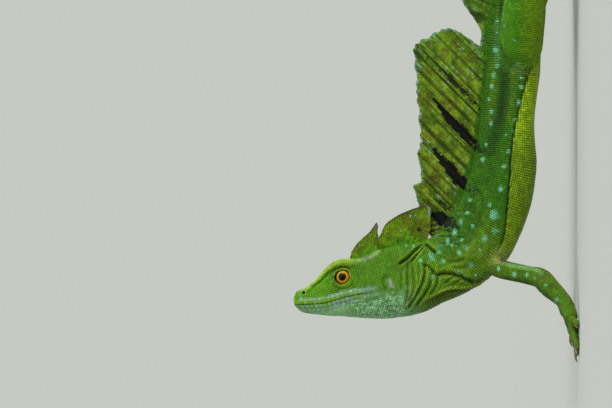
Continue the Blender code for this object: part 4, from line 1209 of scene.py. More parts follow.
def body_rows():
    """The distances of the skin's rings: close on the head, wide on the tail."""
    nose = -np.array([1.0, 0.93, 0.8, 0.6, 0.35, 0.15])
    head = np.arange(0, 60, 0.43)
    neck = np.arange(60, 98, 0.6)
    trunk = np.arange(98, 217, 1.5)
    tail = [217.0]
    while tail[-1] < 698:
        tail.append(tail[-1] + 2.6 + (tail[-1] - 217) / 483 * 3.6)
    return join([nose, head, neck, trunk, [min(t, 699.0) for t in tail[:-1]], [699.6, 700.0]])


def body_surface():
    """The skin of the head, trunk and tail as rings of points, with their colours, distances and shares."""
    rows = body_rows()
    grids = np.meshgrid(rows, np.arange(BODY_SIDES) / BODY_SIDES, indexing="ij")
    far, shares = (grid.reshape(-1) for grid in grids)
    inside = np.clip(far, 0, TAIL_END)
    places, outward, flat = body_places(inside, shares)
    places = places + outward * body_relief(inside, places, flat)[:, None]
    places = shape_eyes(places, inside)
    centre, tailward, back, _ = frames(inside)
    middle = centre - back * 0.5
    nose = np.clip(-far, 0, 1)[:, None]
    rounded = middle + (places - middle) * np.sqrt(np.maximum(1 - nose**2, 0)) - tailward * nose * 0.7
    places = np.where(nose > 0, rounded, places)
    places = np.where((far >= TAIL_END)[:, None], centre + tailward * 0.6, places)
    return places.reshape(len(rows), BODY_SIDES, 3), paint_body(inside, places, flat), far, shares


def union(main, others):
    """One Boolean union of closed meshes."""
    body = in_scene("union", main)
    group = bpy.data.collections.new("others")
    bpy.context.scene.collection.children.link(group)
    helpers = [in_scene(mesh.name, mesh, group) for mesh in others]
    boolean = body.modifiers.new("union", "BOOLEAN")
    boolean.operand_type = "COLLECTION"
    boolean.collection = group
    boolean.operation = "UNION"
    boolean.solver = "MANIFOLD"
    graph = bpy.context.evaluated_depsgraph_get()
    result = bpy.data.meshes.new_from_object(body.evaluated_get(graph))
    for helper in helpers + [body]:
        bpy.data.objects.remove(helper)
    bpy.data.collections.remove(group)
    return result


def vertex_array(mesh):
    places = np.empty(len(mesh.vertices) * 3)
    mesh.vertices.foreach_get("co", places)
    return places.reshape(-1, 3)


def tree_of(points):
    tree = KDTree(len(points))
    for i, point in enumerate(points):
        tree.insert(point, i)
    tree.balance()
    return tree


def nearest_of(points, places):
    """The number of the nearest point to each place."""
    tree = tree_of(points)
    return np.array([tree.find(place)[1] for place in places])


# Labels from this one on belong to digits.
FIRST_DIGIT = 10


def blend_seams(mesh, colours, labels):
    """Smooths the skin, and its colour, where a limb or digit grows out of it."""
    places = vertex_array(mesh)
    edges = np.empty(len(mesh.edges) * 2, int)
    mesh.edges.foreach_get("vertices", edges)
    edges = edges.reshape(-1, 2)
    crossing = labels[edges[:, 0]] != labels[edges[:, 1]]
    weight = np.zeros(len(places))
    digit = labels[edges].max(axis=1) >= FIRST_DIGIT
    for reach, small in ((6, False), (1.6, True)):
        seam = np.unique(edges[crossing & (digit == small)])
        if not len(seam):
            continue
        tree = tree_of(places[seam])
        low, high = places[seam].min(0) - reach, places[seam].max(0) + reach
        near = np.flatnonzero(((places > low) & (places < high)).all(1))
        for i in near:
            _, _, gap = tree.find(places[i])
            if gap < reach:
                weight[i] = max(weight[i], 1 - gap / reach)
    seam_share = ease(weight, 0, 0.8)
    weight = seam_share[:, None]
    count = np.bincount(edges.reshape(-1), minlength=len(places))[:, None]
    for _ in range(28):
        for values in (places, colours):
            total = np.zeros_like(values)
            for k in range(values.shape[1]):
                total[:, k] += np.bincount(edges[:, 0], values[edges[:, 1], k], len(values))
                total[:, k] += np.bincount(edges[:, 1], values[edges[:, 0], k], len(values))
            values += 0.5 * weight * (total / np.maximum(count, 1) - values)
    return places, colours, seam_share


def unscaled(far, shares):
    """Where the head's skin has no scales: on the lids, in the nostrils, round the mouth and on the tip."""
    inside = np.clip(far, 0, TAIL_END)
    _, _, flat = body_places(inside, shares)
    eye = np.hypot(inside - EYE[0], flat[:, 1] - EYE[1])
    nose = np.hypot(inside - NOSTRIL[0], flat[:, 1] - NOSTRIL[1])
    off = flat[:, 1] - mouth_height(inside)
    lips = (inside < 36) & (off > -3.9) & (off < 2.9)
    bare = (eye < EYE_OPENING + 1.5) & (inside < 35) | (nose < 1.1) | lips | (far < 0.8)
    return bare.astype(float)


def sleeve(kind, rings, along):
    """The rings of a limb or digit, with each point's distance along it and share of the way round."""
    sides = rings.shape[1]
    return kind, rings, np.repeat(along, sides), np.tile(np.arange(sides) / sides, len(along))


def limb_sleeves():
    """The surfaces of the arms, the legs, and all fingers and toes."""
    sleeves = []
    for side in ("left", "right"):
        sleeves.append(sleeve(f"arm_{side}", *limb_grid(*with_elbow(ARM_JOINTS[side]), ARM_MUSCLES)))
    for side in ("left", "right"):
        sleeves.append(sleeve(f"leg_{side}", *limb_grid(LEG_JOINTS[side], LEG_THICKNESS, LEG_MUSCLES)))
    return sleeves + [sleeve("digit", *digit_grid(*digit[1:])) for digit in digit_plan()]


def limb_colours(kind, places, shares, along):
    """The colours of places on an arm, a leg or a digit."""
    if kind == "digit":
        return paint_digit(places, along)
    return paint_limb(places, shares, along, *kind.split("_"))


def label_of(number):
    """The label of the skin's points that a sleeve gave: 0 the body, 1 to 4 the limbs, then the digits."""
    return number if number < 5 else number + FIRST_DIGIT


def make_skin():
    """The animal's one skin, the sleeves that its scales are laid on, and its points' labels, colours and
    nearness to a seam."""
    rings, colours, far, shares = body_surface()
    sleeves = [("body", rings, far, shares)] + limb_sleeves()
    tint = [colours]
    for kind, grid, along, turns in sleeves[1:]:
        tint.append(limb_colours(kind, grid.reshape(-1, 3), turns, along))
    source = join([part[1].reshape(-1, 3) for part in sleeves])
    label = join([np.full(len(part[2]), label_of(number)) for number, part in enumerate(sleeves)])
    bare = np.zeros(len(source))
    bare[: len(colours)] = unscaled(far, shares)
    meshes = [grid_mesh("skin" if part[0] == "body" else part[0], part[1]) for part in sleeves]
    skin = union(meshes[0], meshes[1:])
    skin.name = "skin"
    nearest = nearest_of(source, vertex_array(skin))
    label = label[nearest]
    places, colours, seam_share = blend_seams(skin, join(tint)[nearest], label)
    places[:, 2] = np.maximum(places[:, 2], 0.12)
    skin.vertices.foreach_set("co", places.reshape(-1))
    skin.update()
    skin.shade_smooth()
    # The skin is darker where it shows between the scales, partly its own darker colour and partly painted
    # shade; bare skin keeps its full colour.
    under = np.where(source[nearest][:, 0] < 25, 0.6, 0.4)
    under = np.where(label > 0, 0.5, under)
    set_colours(skin, colours * (under + (1 - under) * bare[nearest])[:, None])
    return skin, sleeves, (label, colours, seam_share)


def scale_shape(kind):
    """One scale: a base ring sunk in the skin, a raised ring and a top, as length, width and height."""
    angles = np.radians(np.arange(0, 360, 60))
    turn = np.stack([np.cos(angles), np.sin(angles)], axis=1)
    base = np.column_stack([0.6 * turn, np.full(6, -0.45)])
    if kind == "keel":
        ring = np.column_stack([0.46 * turn + (0.06, 0.0), (1.0, 0.45, 0.35, 0.55, 0.35, 0.45)])
        top = (0.05, 0.0, 1.05)
    elif kind in ("tile", "row"):
        wide = 0.4 if kind == "tile" else 0.46
        half = [(0.35, 0.0), (0.32, wide), (-0.32, wide)]
        plate = join([half, -np.array(half)])
        base[:, :2] = plate * (1.42, 1.16)
        ring = np.column_stack([plate, (0.95, 0.85, 0.5, 0.55, 0.5, 0.85)])
        top = (0.08, 0.0, 1.0)
    else:
        ring = np.column_stack([(0.42, 0.44) * turn + (0.04, 0.0), np.full(6, 0.68)])
        top = (0.06, 0.0, 1.0)
    return join([base, ring, [top]])


SCALE_FACES = [(k, (k + 1) % 6, 6 + (k + 1) % 6, 6 + k) for k in range(6)]
SCALE_FANS = [(6 + k, 6 + (k + 1) % 6, 12) for k in range(6)]


def lay_rows(rings, pitch_of, square=False):
    """Rows of scales across a tube of rings: row and side as fractions of the grid, length and width.
    Square ones stay in line."""
    centres = rings.mean(axis=1)
    steps = np.linalg.norm(np.diff(centres, axis=0), axis=1)
    lengths = join([[0.0], np.cumsum(steps)])
    closed = join([rings, rings[:, :1]], axis=1)
    girths = np.linalg.norm(np.diff(closed, axis=1), axis=2).sum(axis=1)
    rows, sides, sizes = [], [], []
    at, odd = pitch_of(0.0)[0] * 0.5, 0
    while at < lengths[-1]:
        length, width = pitch_of(at)
        row = np.interp(at, lengths, np.arange(len(lengths)))
        girth = np.interp(at, lengths, girths)
        count = max(int(round(girth / width)), 4)
        if square:
            count = 12 * max(int(round(count / 12)), 1)
        turn = (np.arange(count) + 0.5 * odd) / count
        rows.append(np.full(count, row))
        sides.append(np.mod(turn, 1.0))
        sizes.append(np.tile((length, girth / count), (count, 1)))
        at += length
        odd = 0 if square else 1 - odd
    return join(rows), join(sides), join(sizes)


def on_rings(rings, rows, sides):
    """Places between the points of a tube of rings."""
    count = rings.shape[1]
    i = np.clip(rows, 0, len(rings) - 1.001)
    j = np.mod(sides, 1.0) * count
    i0, j0 = i.astype(int), j.astype(int) % count
    j1 = (j0 + 1) % count
    ti, tj = (i - i0)[:, None], (j - np.floor(j))[:, None]
    upper = rings[i0, j0] * (1 - tj) + rings[i0, j1] * tj
    lower = rings[i0 + 1, j0] * (1 - tj) + rings[i0 + 1, j1] * tj
    return upper * (1 - ti) + lower * ti


def run_at(rings, rows, sides):
    """The way along a tube of rings at places between its points."""
    ahead, behind = np.minimum(rows + 0.5, len(rings) - 1.01), np.maximum(rows - 0.5, 0)
    return unit(on_rings(rings, ahead, sides) - on_rings(rings, behind, sides))


def settle(ground, places, reach, label=None):
    """The nearest places on a skin, its smooth normals there, which of them are close and on the labelled
    part, and the nearest vertices."""
    found = np.zeros(places.shape)
    normal = np.zeros(places.shape)
    close = np.zeros(len(places), bool)
    vertex = np.zeros(len(places), int)
    for i, place in enumerate(places):
        spot, _, face, gap = ground["tree"].find_nearest(place)
        if gap is None or gap > reach:
            continue
        corners = ground["faces"][face]
        gaps = np.linalg.norm(ground["places"][corners] - np.array(spot), axis=1)
        vertex[i] = corners[gaps.argmin()]
        if label is not None and ground["labels"][vertex[i]] != label:
            continue
        close[i] = True
        found[i] = spot
        normal[i] = (ground["normals"][corners] / np.maximum(gaps, 0.02)[:, None]).sum(axis=0)
    return found, unit(normal), close, vertex


def ground_of(mesh, labels=None):
    """What settle needs of a mesh."""
    normals = np.empty(len(mesh.vertices) * 3, np.float32)
    mesh.vertex_normals.foreach_get("vector", normals)
    faces = [tuple(face.vertices) for face in mesh.polygons]
    places = vertex_array(mesh)
    return {
        "places": places,
        "normals": normals.reshape(-1, 3),
        "tree": BVHTree.FromPolygons([tuple(p) for p in places], faces),
        "faces": [np.array(face) for face in faces],
        "labels": labels,
    }


# How light a scale's foot, ring and top are, then the same for lip plates and for scales of sails. The dark
# foot is partly the darker skin between scales and partly painted shade where the scales meet.
SCALE_SHADES = (0.22, 0.92, 1.16)
LIP_SHADES = (0.55, 0.95, 1.04)
SAIL_SHADES = (0.65, 0.96, 1.05)


def joined_scales(name, kind, places, normals, along, sizes, heights, colours, patches, shades):
    """Many scales as one mesh, each with its own small patch of the bake map. shades say how light their
    foot, ring and top are."""
    count = len(places)
    shape = scale_shape(kind)
    along = unit(along - (along * normals).sum(axis=1, keepdims=True) * normals)
    across = np.cross(normals, along)
    part = shape[None] * np.column_stack([sizes, heights])[:, None]
    points = places[:, None] + along[:, None] * part[..., :1]
    points = points + across[:, None] * part[..., 1:2] + normals[:, None] * part[..., 2:]
    offsets = 13 * np.arange(count)[:, None, None]
    quads = (np.array(SCALE_FACES)[None] + offsets).reshape(-1, 4)
    fans = (np.array(SCALE_FANS)[None] + offsets).reshape(-1, 3)
    loops = join([quads.reshape(-1), fans.reshape(-1)])
    sizes_of = join([np.full(len(quads), 4), np.full(len(fans), 3)])
    mesh = bpy.data.meshes.new(name)
    mesh.vertices.add(13 * count)
    mesh.loops.add(len(loops))
    mesh.polygons.add(len(sizes_of))
    mesh.vertices.foreach_set("co", points.reshape(-1))
    mesh.loops.foreach_set("vertex_index", loops.astype(np.int32))
    starts = join([[0], np.cumsum(sizes_of)[:-1]])
    mesh.polygons.foreach_set("loop_start", starts.astype(np.int32))
    mesh.update(calc_edges=True)
    shade = np.repeat(shades, (6, 6, 1))
    set_colours(mesh, (colours[:, None] * shade[None, :, None]).reshape(-1, 3))
    layer = mesh.uv_layers.new(name="OFBake")
    corner = shape[:, :2] / 1.3 * 0.003
    spread = (patches[:, None] + corner[None]).reshape(-1, 2)
    layer.data.foreach_set("uv", spread[loops].reshape(-1).astype(np.float32))
    mesh.shade_smooth()
    return mesh


# Softer shades for the parts whose scales show less.
CALM_SHADES = {
    "scales_head": (0.5, 0.95, 1.06),
    "scales_neck": (0.4, 0.94, 1.1),
    "scales_arms": (0.2, 0.9, 1.18),
    "scales_legs": (0.24, 0.92, 1.15),
    "scales_digits": (0.4, 0.94, 1.1),
}
# Scales of the body: distance, length along the body and width across it.
BODY_PITCH = [
    (0, 0.8, 0.92), (12, 0.92, 1.05), (40, 0.86, 1), (60, 0.95, 0.96), (80, 1.04, 0.94),
    (190, 1.06, 0.96), (240, 1.12, 1.2), (330, 1.35, 1.5), (500, 1.45, 1.6), (700, 1, 1.1),
]
# Scales of the limbs and digits: length along them and width across.
LIMB_PITCH = {"arm": (0.9, 0.84), "leg": (0.98, 0.98), "digit": (0.85, 0.9)}
# The belly's scales are so many times as long and wide.
BELLY_PITCH = np.array((1.05, 1.22))
SCALE_HEIGHTS = {"tile": 0.22, "row": 0.26, "keel": 0.26, "dome": 0.24}
# Where the neck, the trunk and the tail begin.
PART_STARTS = (62.0, 132.0, 222.0)


def patch_places(number, count, lengthwise, sides):
    """Where scales' patches lie on the bake map: most of it is the body's, a strip each limb's and
    digit's."""
    if number == 0:
        return np.stack([0.01 + 0.78 * lengthwise, 0.01 + 0.98 * sides], axis=1)
    strip = (number - 1 + 0.85 * lengthwise) / (count - 1)
    return np.stack([0.81 + 0.18 * sides, 0.01 + 0.98 * strip], axis=1)


def near_seams(colours, places, vertex, marks):
    """The colours of scales, blended near a seam into those of the skin, with the spots that cross it."""
    colours = mix(colours, marks[0][vertex], marks[1][vertex])
    return lay_spots(colours, side_view(places), SEAM_SPOTS, np.sqrt(marks[1][vertex]))


def coat_body(ground, rings, far, marks, groups):
    """The scales of the head, trunk and tail: fine ones, and larger square ones under the belly."""
    first = int(np.searchsorted(far.reshape(rings.shape[:2])[:, 0], 0.6))
    rings = rings[first:]
    base = far.reshape(-1, BODY_SIDES)[first:, 0]
    order = np.arange(len(base))
    centres = rings.mean(axis=1)
    run = join([[0.0], np.cumsum(np.linalg.norm(np.diff(centres, axis=0), axis=1))])
    for tile in (False, True):

        def pitch_of(at):
            distance = float(np.interp(at, run, base))
            return row_at(BODY_PITCH, distance) * (BELLY_PITCH if tile else (1.0, 1.0))

        rows, sides, sizes = lay_rows(rings, pitch_of, tile)
        far_at = np.interp(rows, order, base)
        above = body_places(far_at, sides)[2][:, 1] - belly_level(far_at)
        keep = (((above < 0) & (far_at > 95)) == tile) & (unscaled(far_at, sides) < 0.5)
        keep &= (np.abs(above) > 0.45) | (belly_edge_share(far_at) < 0.3)
        if not tile:
            wave = 0.55 * noise(on_rings(rings, rows, sides), 6, 61) * (far_at > 62)
            rows = np.clip(rows + wave / np.gradient(run)[rows.astype(int)], 0, len(rings) - 1.01)
        rows, sides, sizes = rows[keep], sides[keep], sizes[keep]
        far_at = np.interp(rows, order, base)
        places = on_rings(rings, rows, sides)
        found, normal, close, vertex = settle(ground, places, 2.5, 0)
        colours = paint_body(far_at, places, body_places(far_at, sides)[2])
        colours = near_seams(colours, places, vertex, marks)
        patches = patch_places(0, 1, rows / len(rings), sides)
        values = (found, normal, run_at(rings, rows, sides), sizes, colours, patches)
        part = np.searchsorted(PART_STARTS, far_at, side="right")
        for k, word in enumerate(("head", "neck", "trunk", "tail")):
            kind = "tile" if tile else ("dome", "row", "row", "keel")[k]
            pick = close & (part == k)
            groups.setdefault((f"scales_{word}", kind), []).append([value[pick] for value in values])


def make_coat(ground, sleeves, marks, material):
    """All the scales, laid in staggered rows on the finished skin and joined piece by piece."""
    groups = {}
    coat_body(ground, *sleeves[0][1:3], marks, groups)
    for number, (kind, rings, along, _) in enumerate(sleeves[1:], 1):
        limb = kind.split("_")[0]
        rows, sides, sizes = lay_rows(rings, lambda at: LIMB_PITCH[limb])
        places = on_rings(rings, rows, sides)
        found, normal, close, vertex = settle(ground, places, 2.5, label_of(number))
        along_at = np.interp(rows, np.arange(len(rings)), along.reshape(rings.shape[:2])[:, 0])
        colours = limb_colours(kind, places, sides, along_at)
        if kind == "digit":
            colours = mix(colours, marks[0][vertex], marks[1][vertex])
        else:
            colours = near_seams(colours, places, vertex, marks)
        patches = patch_places(number, len(sleeves), rows / len(rings), sides)
        close &= found[:, 2] > 0.3
        values = (found, normal, run_at(rings, rows, sides), sizes, colours, patches)
        group = (f"scales_{limb}s", "keel" if kind == "digit" else "row")
        groups.setdefault(group, []).append([value[close] for value in values])
    for (name, kind), parts in groups.items():
        found, normal, along, sizes, colours, patches = (join(values) for values in zip(*parts))
        if not len(found):
            continue
        calm = name == "scales_head"
        uneven = rng.standard_normal((len(found), 1)).clip(-1.5, 1.5)
        sizes = sizes * (1.0 + (0.05 if calm else 0.07) * uneven)
        height = SCALE_HEIGHTS[kind] * (0.85 + 0.3 * rng.random(len(found))) * (0.8 if calm else 1.0)
        tone = 1 + (0.08 if calm else 0.13) * rng.standard_normal(len(found)).clip(-2, 2)
        colours = colours * tone[:, None]
        shades = CALM_SHADES.get(name, SCALE_SHADES)
        values = (found, normal, along, sizes, height, colours, patches)
        show(joined_scales(f"{name}_{kind}", kind, *values, shades), material)


def lip_plates(ground, material):
    """The rows of square plates along both lips and below the lower one."""
    parts = []
    for rise, pitch, half, start, stands, blue_share in LIP_PLATES:
        for side in (-1, 1):
            far = np.arange(3.2 + start, 32.5, pitch)
            count = len(far)
            levels = rows_at(MOUTH_LINE, far)[:, 0] + rise
            shares = np.array([share_at(*place, side) for place in zip(far, levels)])
            places, outward, flat = body_places(far, shares)
            lifted = places + outward * body_relief(far, places, flat)[:, None]
            found, normal, _, _ = settle(ground, lifted, 2.0)
            light = 0.75 + 0.25 * rng.random((count, 2, 1))
            blue, yellow = LIP_BLUE * light[:, 0], LIP_YELLOW * light[:, 1]
            if rise < 0:
                blue, yellow = blue * 0.88, np.tile(LOWER_PLATE, (count, 1))
            clouded = np.clip(blue_share + 0.65 * noise(places, 1.3, 8), 0, 1)
            colours = mix(yellow, blue, clouded * ease(far, 1, 6))
            sizes = np.tile((pitch * 1.05, half * 2.15), (count, 1))
            patches = patch_places(0, 1, far / TAIL_END, np.mod(shares, 1.0))
            tailward = frames(far)[1]
            parts.append((found, normal, tailward, sizes, np.full(count, stands), colours, patches))
    joined = [join(values) for values in zip(*parts)]
    show(joined_scales("lip_plates", "tile", *joined, LIP_SHADES), material)


def fin_surface(feet, tips, half):
    """A thin upright sheet as a flattened tube: up its left side, over the edge and down its right.
    half gives the sheet's half thickness over columns and rows."""
    rows = half.shape[1]
    share = np.linspace(0, 1, rows)
    middle = feet[:, None] * (1 - share[None, :, None]) + tips[:, None] * share[None, :, None]
    across_base = np.gradient(feet, axis=0)
    ray = unit(tips - feet)
    side = unit(np.cross(ray, unit(across_base)))
    side = np.where(side[:, 1:2] > 0, side, -side)
    left = middle - side[:, None] * half[..., None]
    right = middle + side[:, None] * half[..., None]
    return join([left, right[:, ::-1]], axis=1), middle


def sheet_scales(name, mesh, rings, sink, pitch, paint, material):
    """Small scales in staggered rows on both faces of a sheet. paint gives their colours."""
    count, double = rings.shape[:2]
    rows = double // 2
    feet = (rings[:, 0] + rings[:, -1]) / 2
    tips = (rings[:, rows - 1] + rings[:, rows]) / 2
    ray = unit(tips - feet)
    lengths = np.linalg.norm(tips - feet, axis=1)
    middle = (feet + tips) / 2
    steps = np.linalg.norm(np.cross(np.diff(middle, axis=0), (ray[1:] + ray[:-1]) / 2), axis=1)
    run = join([[0.0], np.cumsum(steps)])
    columns, shares = [], []
    for k, at in enumerate(np.arange(0.4 * pitch, run[-1] - 0.3 * pitch, pitch)):
        column = np.interp(at, run, np.arange(count))
        length = np.interp(column, np.arange(count), lengths)
        reach = np.arange(sink + 0.5 * pitch * (k % 2), length - 0.35 * pitch, pitch * 0.86)
        columns.append(np.full(len(reach), column))
        shares.append(reach / length)
    columns, shares = join(columns), join(shares)
    parts = []
    ground = ground_of(mesh)
    for face in (0, 1):
        place_round = shares * (rows - 1)
        place_round = double - 1 - place_round if face else place_round
        places = on_rings(rings, columns, place_round / double)
        found, normal, close, _ = settle(ground, places, 0.8)
        index = columns.astype(int)
        colours = paint(places, columns, shares)
        patches = np.stack([0.01 + 0.98 * columns / count, 0.01 + 0.48 * shares + 0.5 * face], axis=1)
        parts.append((found[close], normal[close], ray[index][close], colours[close], patches[close]))
    found, normal, along, colours, patches = (join(values) for values in zip(*parts))
    size = pitch * (0.98 + 0.12 * rng.standard_normal((len(found), 1)).clip(-1.5, 1.5)) * (0.92, 1.0)
    tone = 1 + 0.15 * rng.standard_normal(len(found)).clip(-2, 2)
    height = 0.13 * (0.7 + 0.6 * rng.random(len(found)))
    colours = colours * tone[:, None]
    scales = joined_scales(name, "dome", found, normal, along, size, height, colours, patches, SAIL_SHADES)
    show(scales, material)


def make_sheet(name, feet, tips, half, paint, sink, pitch, materials, node):
    """A sail or crest with its small scales, in the colours that paint gives from place, column and share
    of the way out."""
    half[0] = half[-1] = 0.0
    columns, rows = half.shape
    rings, middle = fin_surface(feet, tips, half)
    mesh = grid_mesh(name, rings)
    flat = middle.reshape(-1, 3)
    colours = paint(flat, np.repeat(np.arange(columns), rows), np.tile(np.linspace(0, 1, rows), columns))
    mesh.shade_smooth()
    # The sheet is darker where it shows between the scales, partly its own darker colour and partly painted
    # shade.
    set_colours(mesh, 0.55 * colours[nearest_of(flat, vertex_array(mesh))])
    sheet_scales("scales_" + name.rsplit("_", 1)[0], mesh, rings, sink, pitch, paint, materials[1])
    show(mesh, materials[0], (node,))


def one_by_one(numbers, seed):
    """A steady random value from 0 to 1 for each whole number."""
    value = np.sin(np.floor(numbers) * 12.9898 + seed * 4.1) * 43758.5453
    return value - np.floor(value)


def sail_columns(lengths, rays, lean, level_lean, bends):
    """The feet and tips of a sail's fine columns, how near each is to a ray, from 0 to 1, and which ray."""
    count = rays * SAIL_COLUMNS + 1
    far = np.linspace(lengths[0][0], lengths[-1][0], count)
    phase = np.arange(count) / SAIL_COLUMNS + 0.3 * np.sin(np.arange(count) / SAIL_COLUMNS * 1.7)
    off = np.abs(phase - np.round(phase))
    centre, tailward, back, right = frames(far)
    roof = section_corners(far)[:, 0, 1]
    feet = centre + back * (roof - SAIL_SINK)[:, None]
    angle = math.radians(lean)
    if level_lean:
        ray = np.tile((math.sin(angle), 0.0, math.cos(angle)), (count, 1))
    else:
        ray = back * math.cos(angle) + tailward * math.sin(angle)
    length = rows_at(lengths, far)[:, 0]
    dip = (0.012 + 0.028 * one_by_one(phase, 1)) * (0.5 - 0.5 * np.cos(2 * np.pi * off))
    ragged = noise(np.column_stack([far, far * 0, far * 0]), 2, 51)
    length = length * (1 - dip) + 0.3 * ragged * ease(length, 4, 12)
    tips = feet + ray * (length + SAIL_SINK)[:, None]
    if bends:
        tips += right * rows_at(bends, far)
    return feet, tips, ease(off, 0.04, 0.16), phase


def sail_layers(flat, phase, share, length):
    """A sail's yellow-green bands between thin dark lines and painted shade in the grooves between its
    rays, its brown clouds, pale specks, black slots and the nape's painted shadow, and the back's own green
    at its foot."""
    view = side_view(flat)
    off = phase - np.round(phase)
    band = phase + 0.5
    stretched = np.column_stack([phase * 3.0, share * length * 0.35, phase * 0])
    yield SAIL_YELLOW, 0.25 + 0.45 * ease(one_by_one(band, 2), 0.1, 0.9)
    yield SAIL_YELLOW, 0.55 * ease(noise(flat, 3, 21), -0.1, 0.5)
    yield SAIL_SHADE, 0.6 * ease(noise(stretched, 1.4, 28), 0.05, 0.5)
    yield SAIL_BROWN, 0.6 * ease(noise(flat, 3.6, 22), 0.1, 0.55) * ease(share, 0.15, 0.5)
    strength = 0.6 + 0.4 * ease(one_by_one(band, 3), 0.1, 0.6)
    strength = strength * ease(noise(stretched, 2.6, 29), -0.9, -0.1)
    # Painted shade in the grooves between the rays.
    yield RAY_GROOVE_SHADE, 0.92 * strength * bell(off, 0, 0.085 + 0.07 * one_by_one(band, 4))
    thin = bell(np.abs(off), 0.42, 0.05) * ease(noise(stretched, 2.8, 30), -0.4, 0.2)
    yield THIN_LINE, 0.75 * thin
    specks = ease(noise(stretched * (2, 2.4, 1), 1.4, 24), 0.42, 0.66)
    specks = specks * ease(noise(flat, 8, 25), -0.5, 0.3) * (share > 0.15)
    yield SAIL_BLUE, 0.75 * specks * ease(np.abs(np.abs(off) - 0.25), 0.22, 0.08)
    rim = ease(share * length, length - 2, length - 0.7)
    yield SAIL_BLUE, 0.75 * rim * ease(noise(flat, 1.7, 26), -0.35, 0.2)
    nape = 0.8 * in_box(view, *NAPE_STRIPES)
    stripes = ease(np.sin(2 * np.pi * (view[:, 1] + 0.25 * view[:, 0]) / 5), -0.2, 0.4)
    yield STRIPE_YELLOW, nape * stripes
    yield STRIPE_BROWN, nape * (1 - stripes)
    above = share * length - SAIL_SINK + 0.6 * noise(flat, 3, 35)
    yield BACK_GREEN * 1.15, ease(above, 4.2, 2.4) * ease(view[:, 1], *SAIL_GREEN_FOOT)
    rough, ragged = noise(flat, 1.4, 23), noise(flat, 0.8, 36)
    broken = ease(noise(flat, 0.7, 38), 0.1, 0.35)
    for line, half, black in SAIL_STREAKS:
        gap, along = from_line(view, line)
        half = half * (0.35 + 0.65 * ease(along, 0, 0.45)) * ease(along, 1.04, 0.76)
        gap = gap + 1.1 * rough + 3.2 * ragged * ease(along, 0.5, 0.9)
        whole = 1 - 0.9 * broken * ease(along, 0.62, 0.85)
        # Black slots, and the nape's painted shadow.
        yield SLOT_AND_SHADOW_BLACK, black * whole * ease(gap, half + 0.5, half - 0.5)
    yield SAIL_REAR_GREEN, 0.22 * ease(view[:, 1], *SAIL_REAR)


def paint_sail(flat, phase, share, length):
    """The colour of a sail at places, from the number of the ray there, the share of the way out and the
    length of the ray."""
    colour = laid(np.tile(SAIL_GREEN, (len(flat), 1)), sail_layers(flat, phase, share, length))
    return 0.87 * colour * (1 + 0.16 * noise(flat, 1.2, 27))[:, None]


def make_sail(name, lengths, rays, lean, level_lean, bends, materials, node):
    """A sail as a thin sheet with its rays standing out a little, and the small scales on it."""
    feet, tips, on_ray, phase = sail_columns(lengths, rays, lean, level_lean, bends)
    length = np.linalg.norm(tips - feet, axis=1)
    half = (0.26 + 0.5 * on_ray[:, None]) * (1 - 0.62 * np.linspace(0, 1, SAIL_ROWS)) + 0.04
    half[:, -1] *= 0.35
    order = np.arange(len(phase))

    def paint(places, columns, shares):
        phases, lengths_at = np.interp(columns, order, phase), np.interp(columns, order, length)
        return paint_sail(places, phases, shares, lengths_at)

    make_sheet(name, feet, tips, half, paint, SAIL_SINK - 0.3, 1.12, materials, node)


def crest_layers(flat, across, share, kind):
    """A head crest's green foot, olive middle, dark brown rim and marks."""
    view = side_view(flat)
    cloud = noise(flat, 4, 31)
    green = 1.0 if kind == "rear" else 0.6
    yield CREST_OLIVE, green * ease(share + 0.08 * cloud, 0.1, 0.55)
    yield CREST_SHADE, 0.6 * ease(noise(flat, 2.4, 34), 0, 0.5)
    yield CREST_BROWN, 0.45 * green**2 * ease(cloud, 0.1, 0.6) * ease(share, 0.3, 0.7)
    if kind == "front":
        yield CREST_BAND, 0.4 * ease(share + 0.05 * cloud, 0.48, 0.68)
        rim = np.maximum(ease(share, 0.86, 0.97), ease(across, 0.1, 0.02))
        yield FRONT_RIM, 0.85 * rim
        yield CREST_TIP, 0.7 * ease(from_mark(view, *FRONT_CREST_TIP), 9, 3)
    else:
        rim = np.maximum(ease(share, 0.9, 0.985), ease(across, 0.93, 0.99) * ease(share, 0.25, 0.5))
        yield REAR_RIM, 0.85 * rim
        yield CREST_BLUE, 0.7 * in_box(view, *CREST_STRIPE)
        rear = ease(from_mark(view, *CREST_REAR_MARK) + 0.3 * cloud, 1.1, 0.4)
        yield CREST_REAR, 0.6 * rear
        spot = from_mark(view, *CREST_SPOT) + 0.8 * noise(flat, 1, 37)
        yield CREST_BLACK, 0.92 * ease(spot, 3, 1.6)
        for x, y, half in CREST_SPECKS:
            yield SAIL_BLUE, 0.75 * ease(from_mark(view, (x, y)), half, 0.5 * half)


def paint_crest(flat, across, share, kind):
    """The colour of a head crest at places, from the shares of the way across and of the way out."""
    colour = laid(np.tile(CREST_GREEN, (len(flat), 1)), crest_layers(flat, across, share, kind))
    return colour * (1 + 0.14 * noise(flat, 1.3, 33))[:, None]


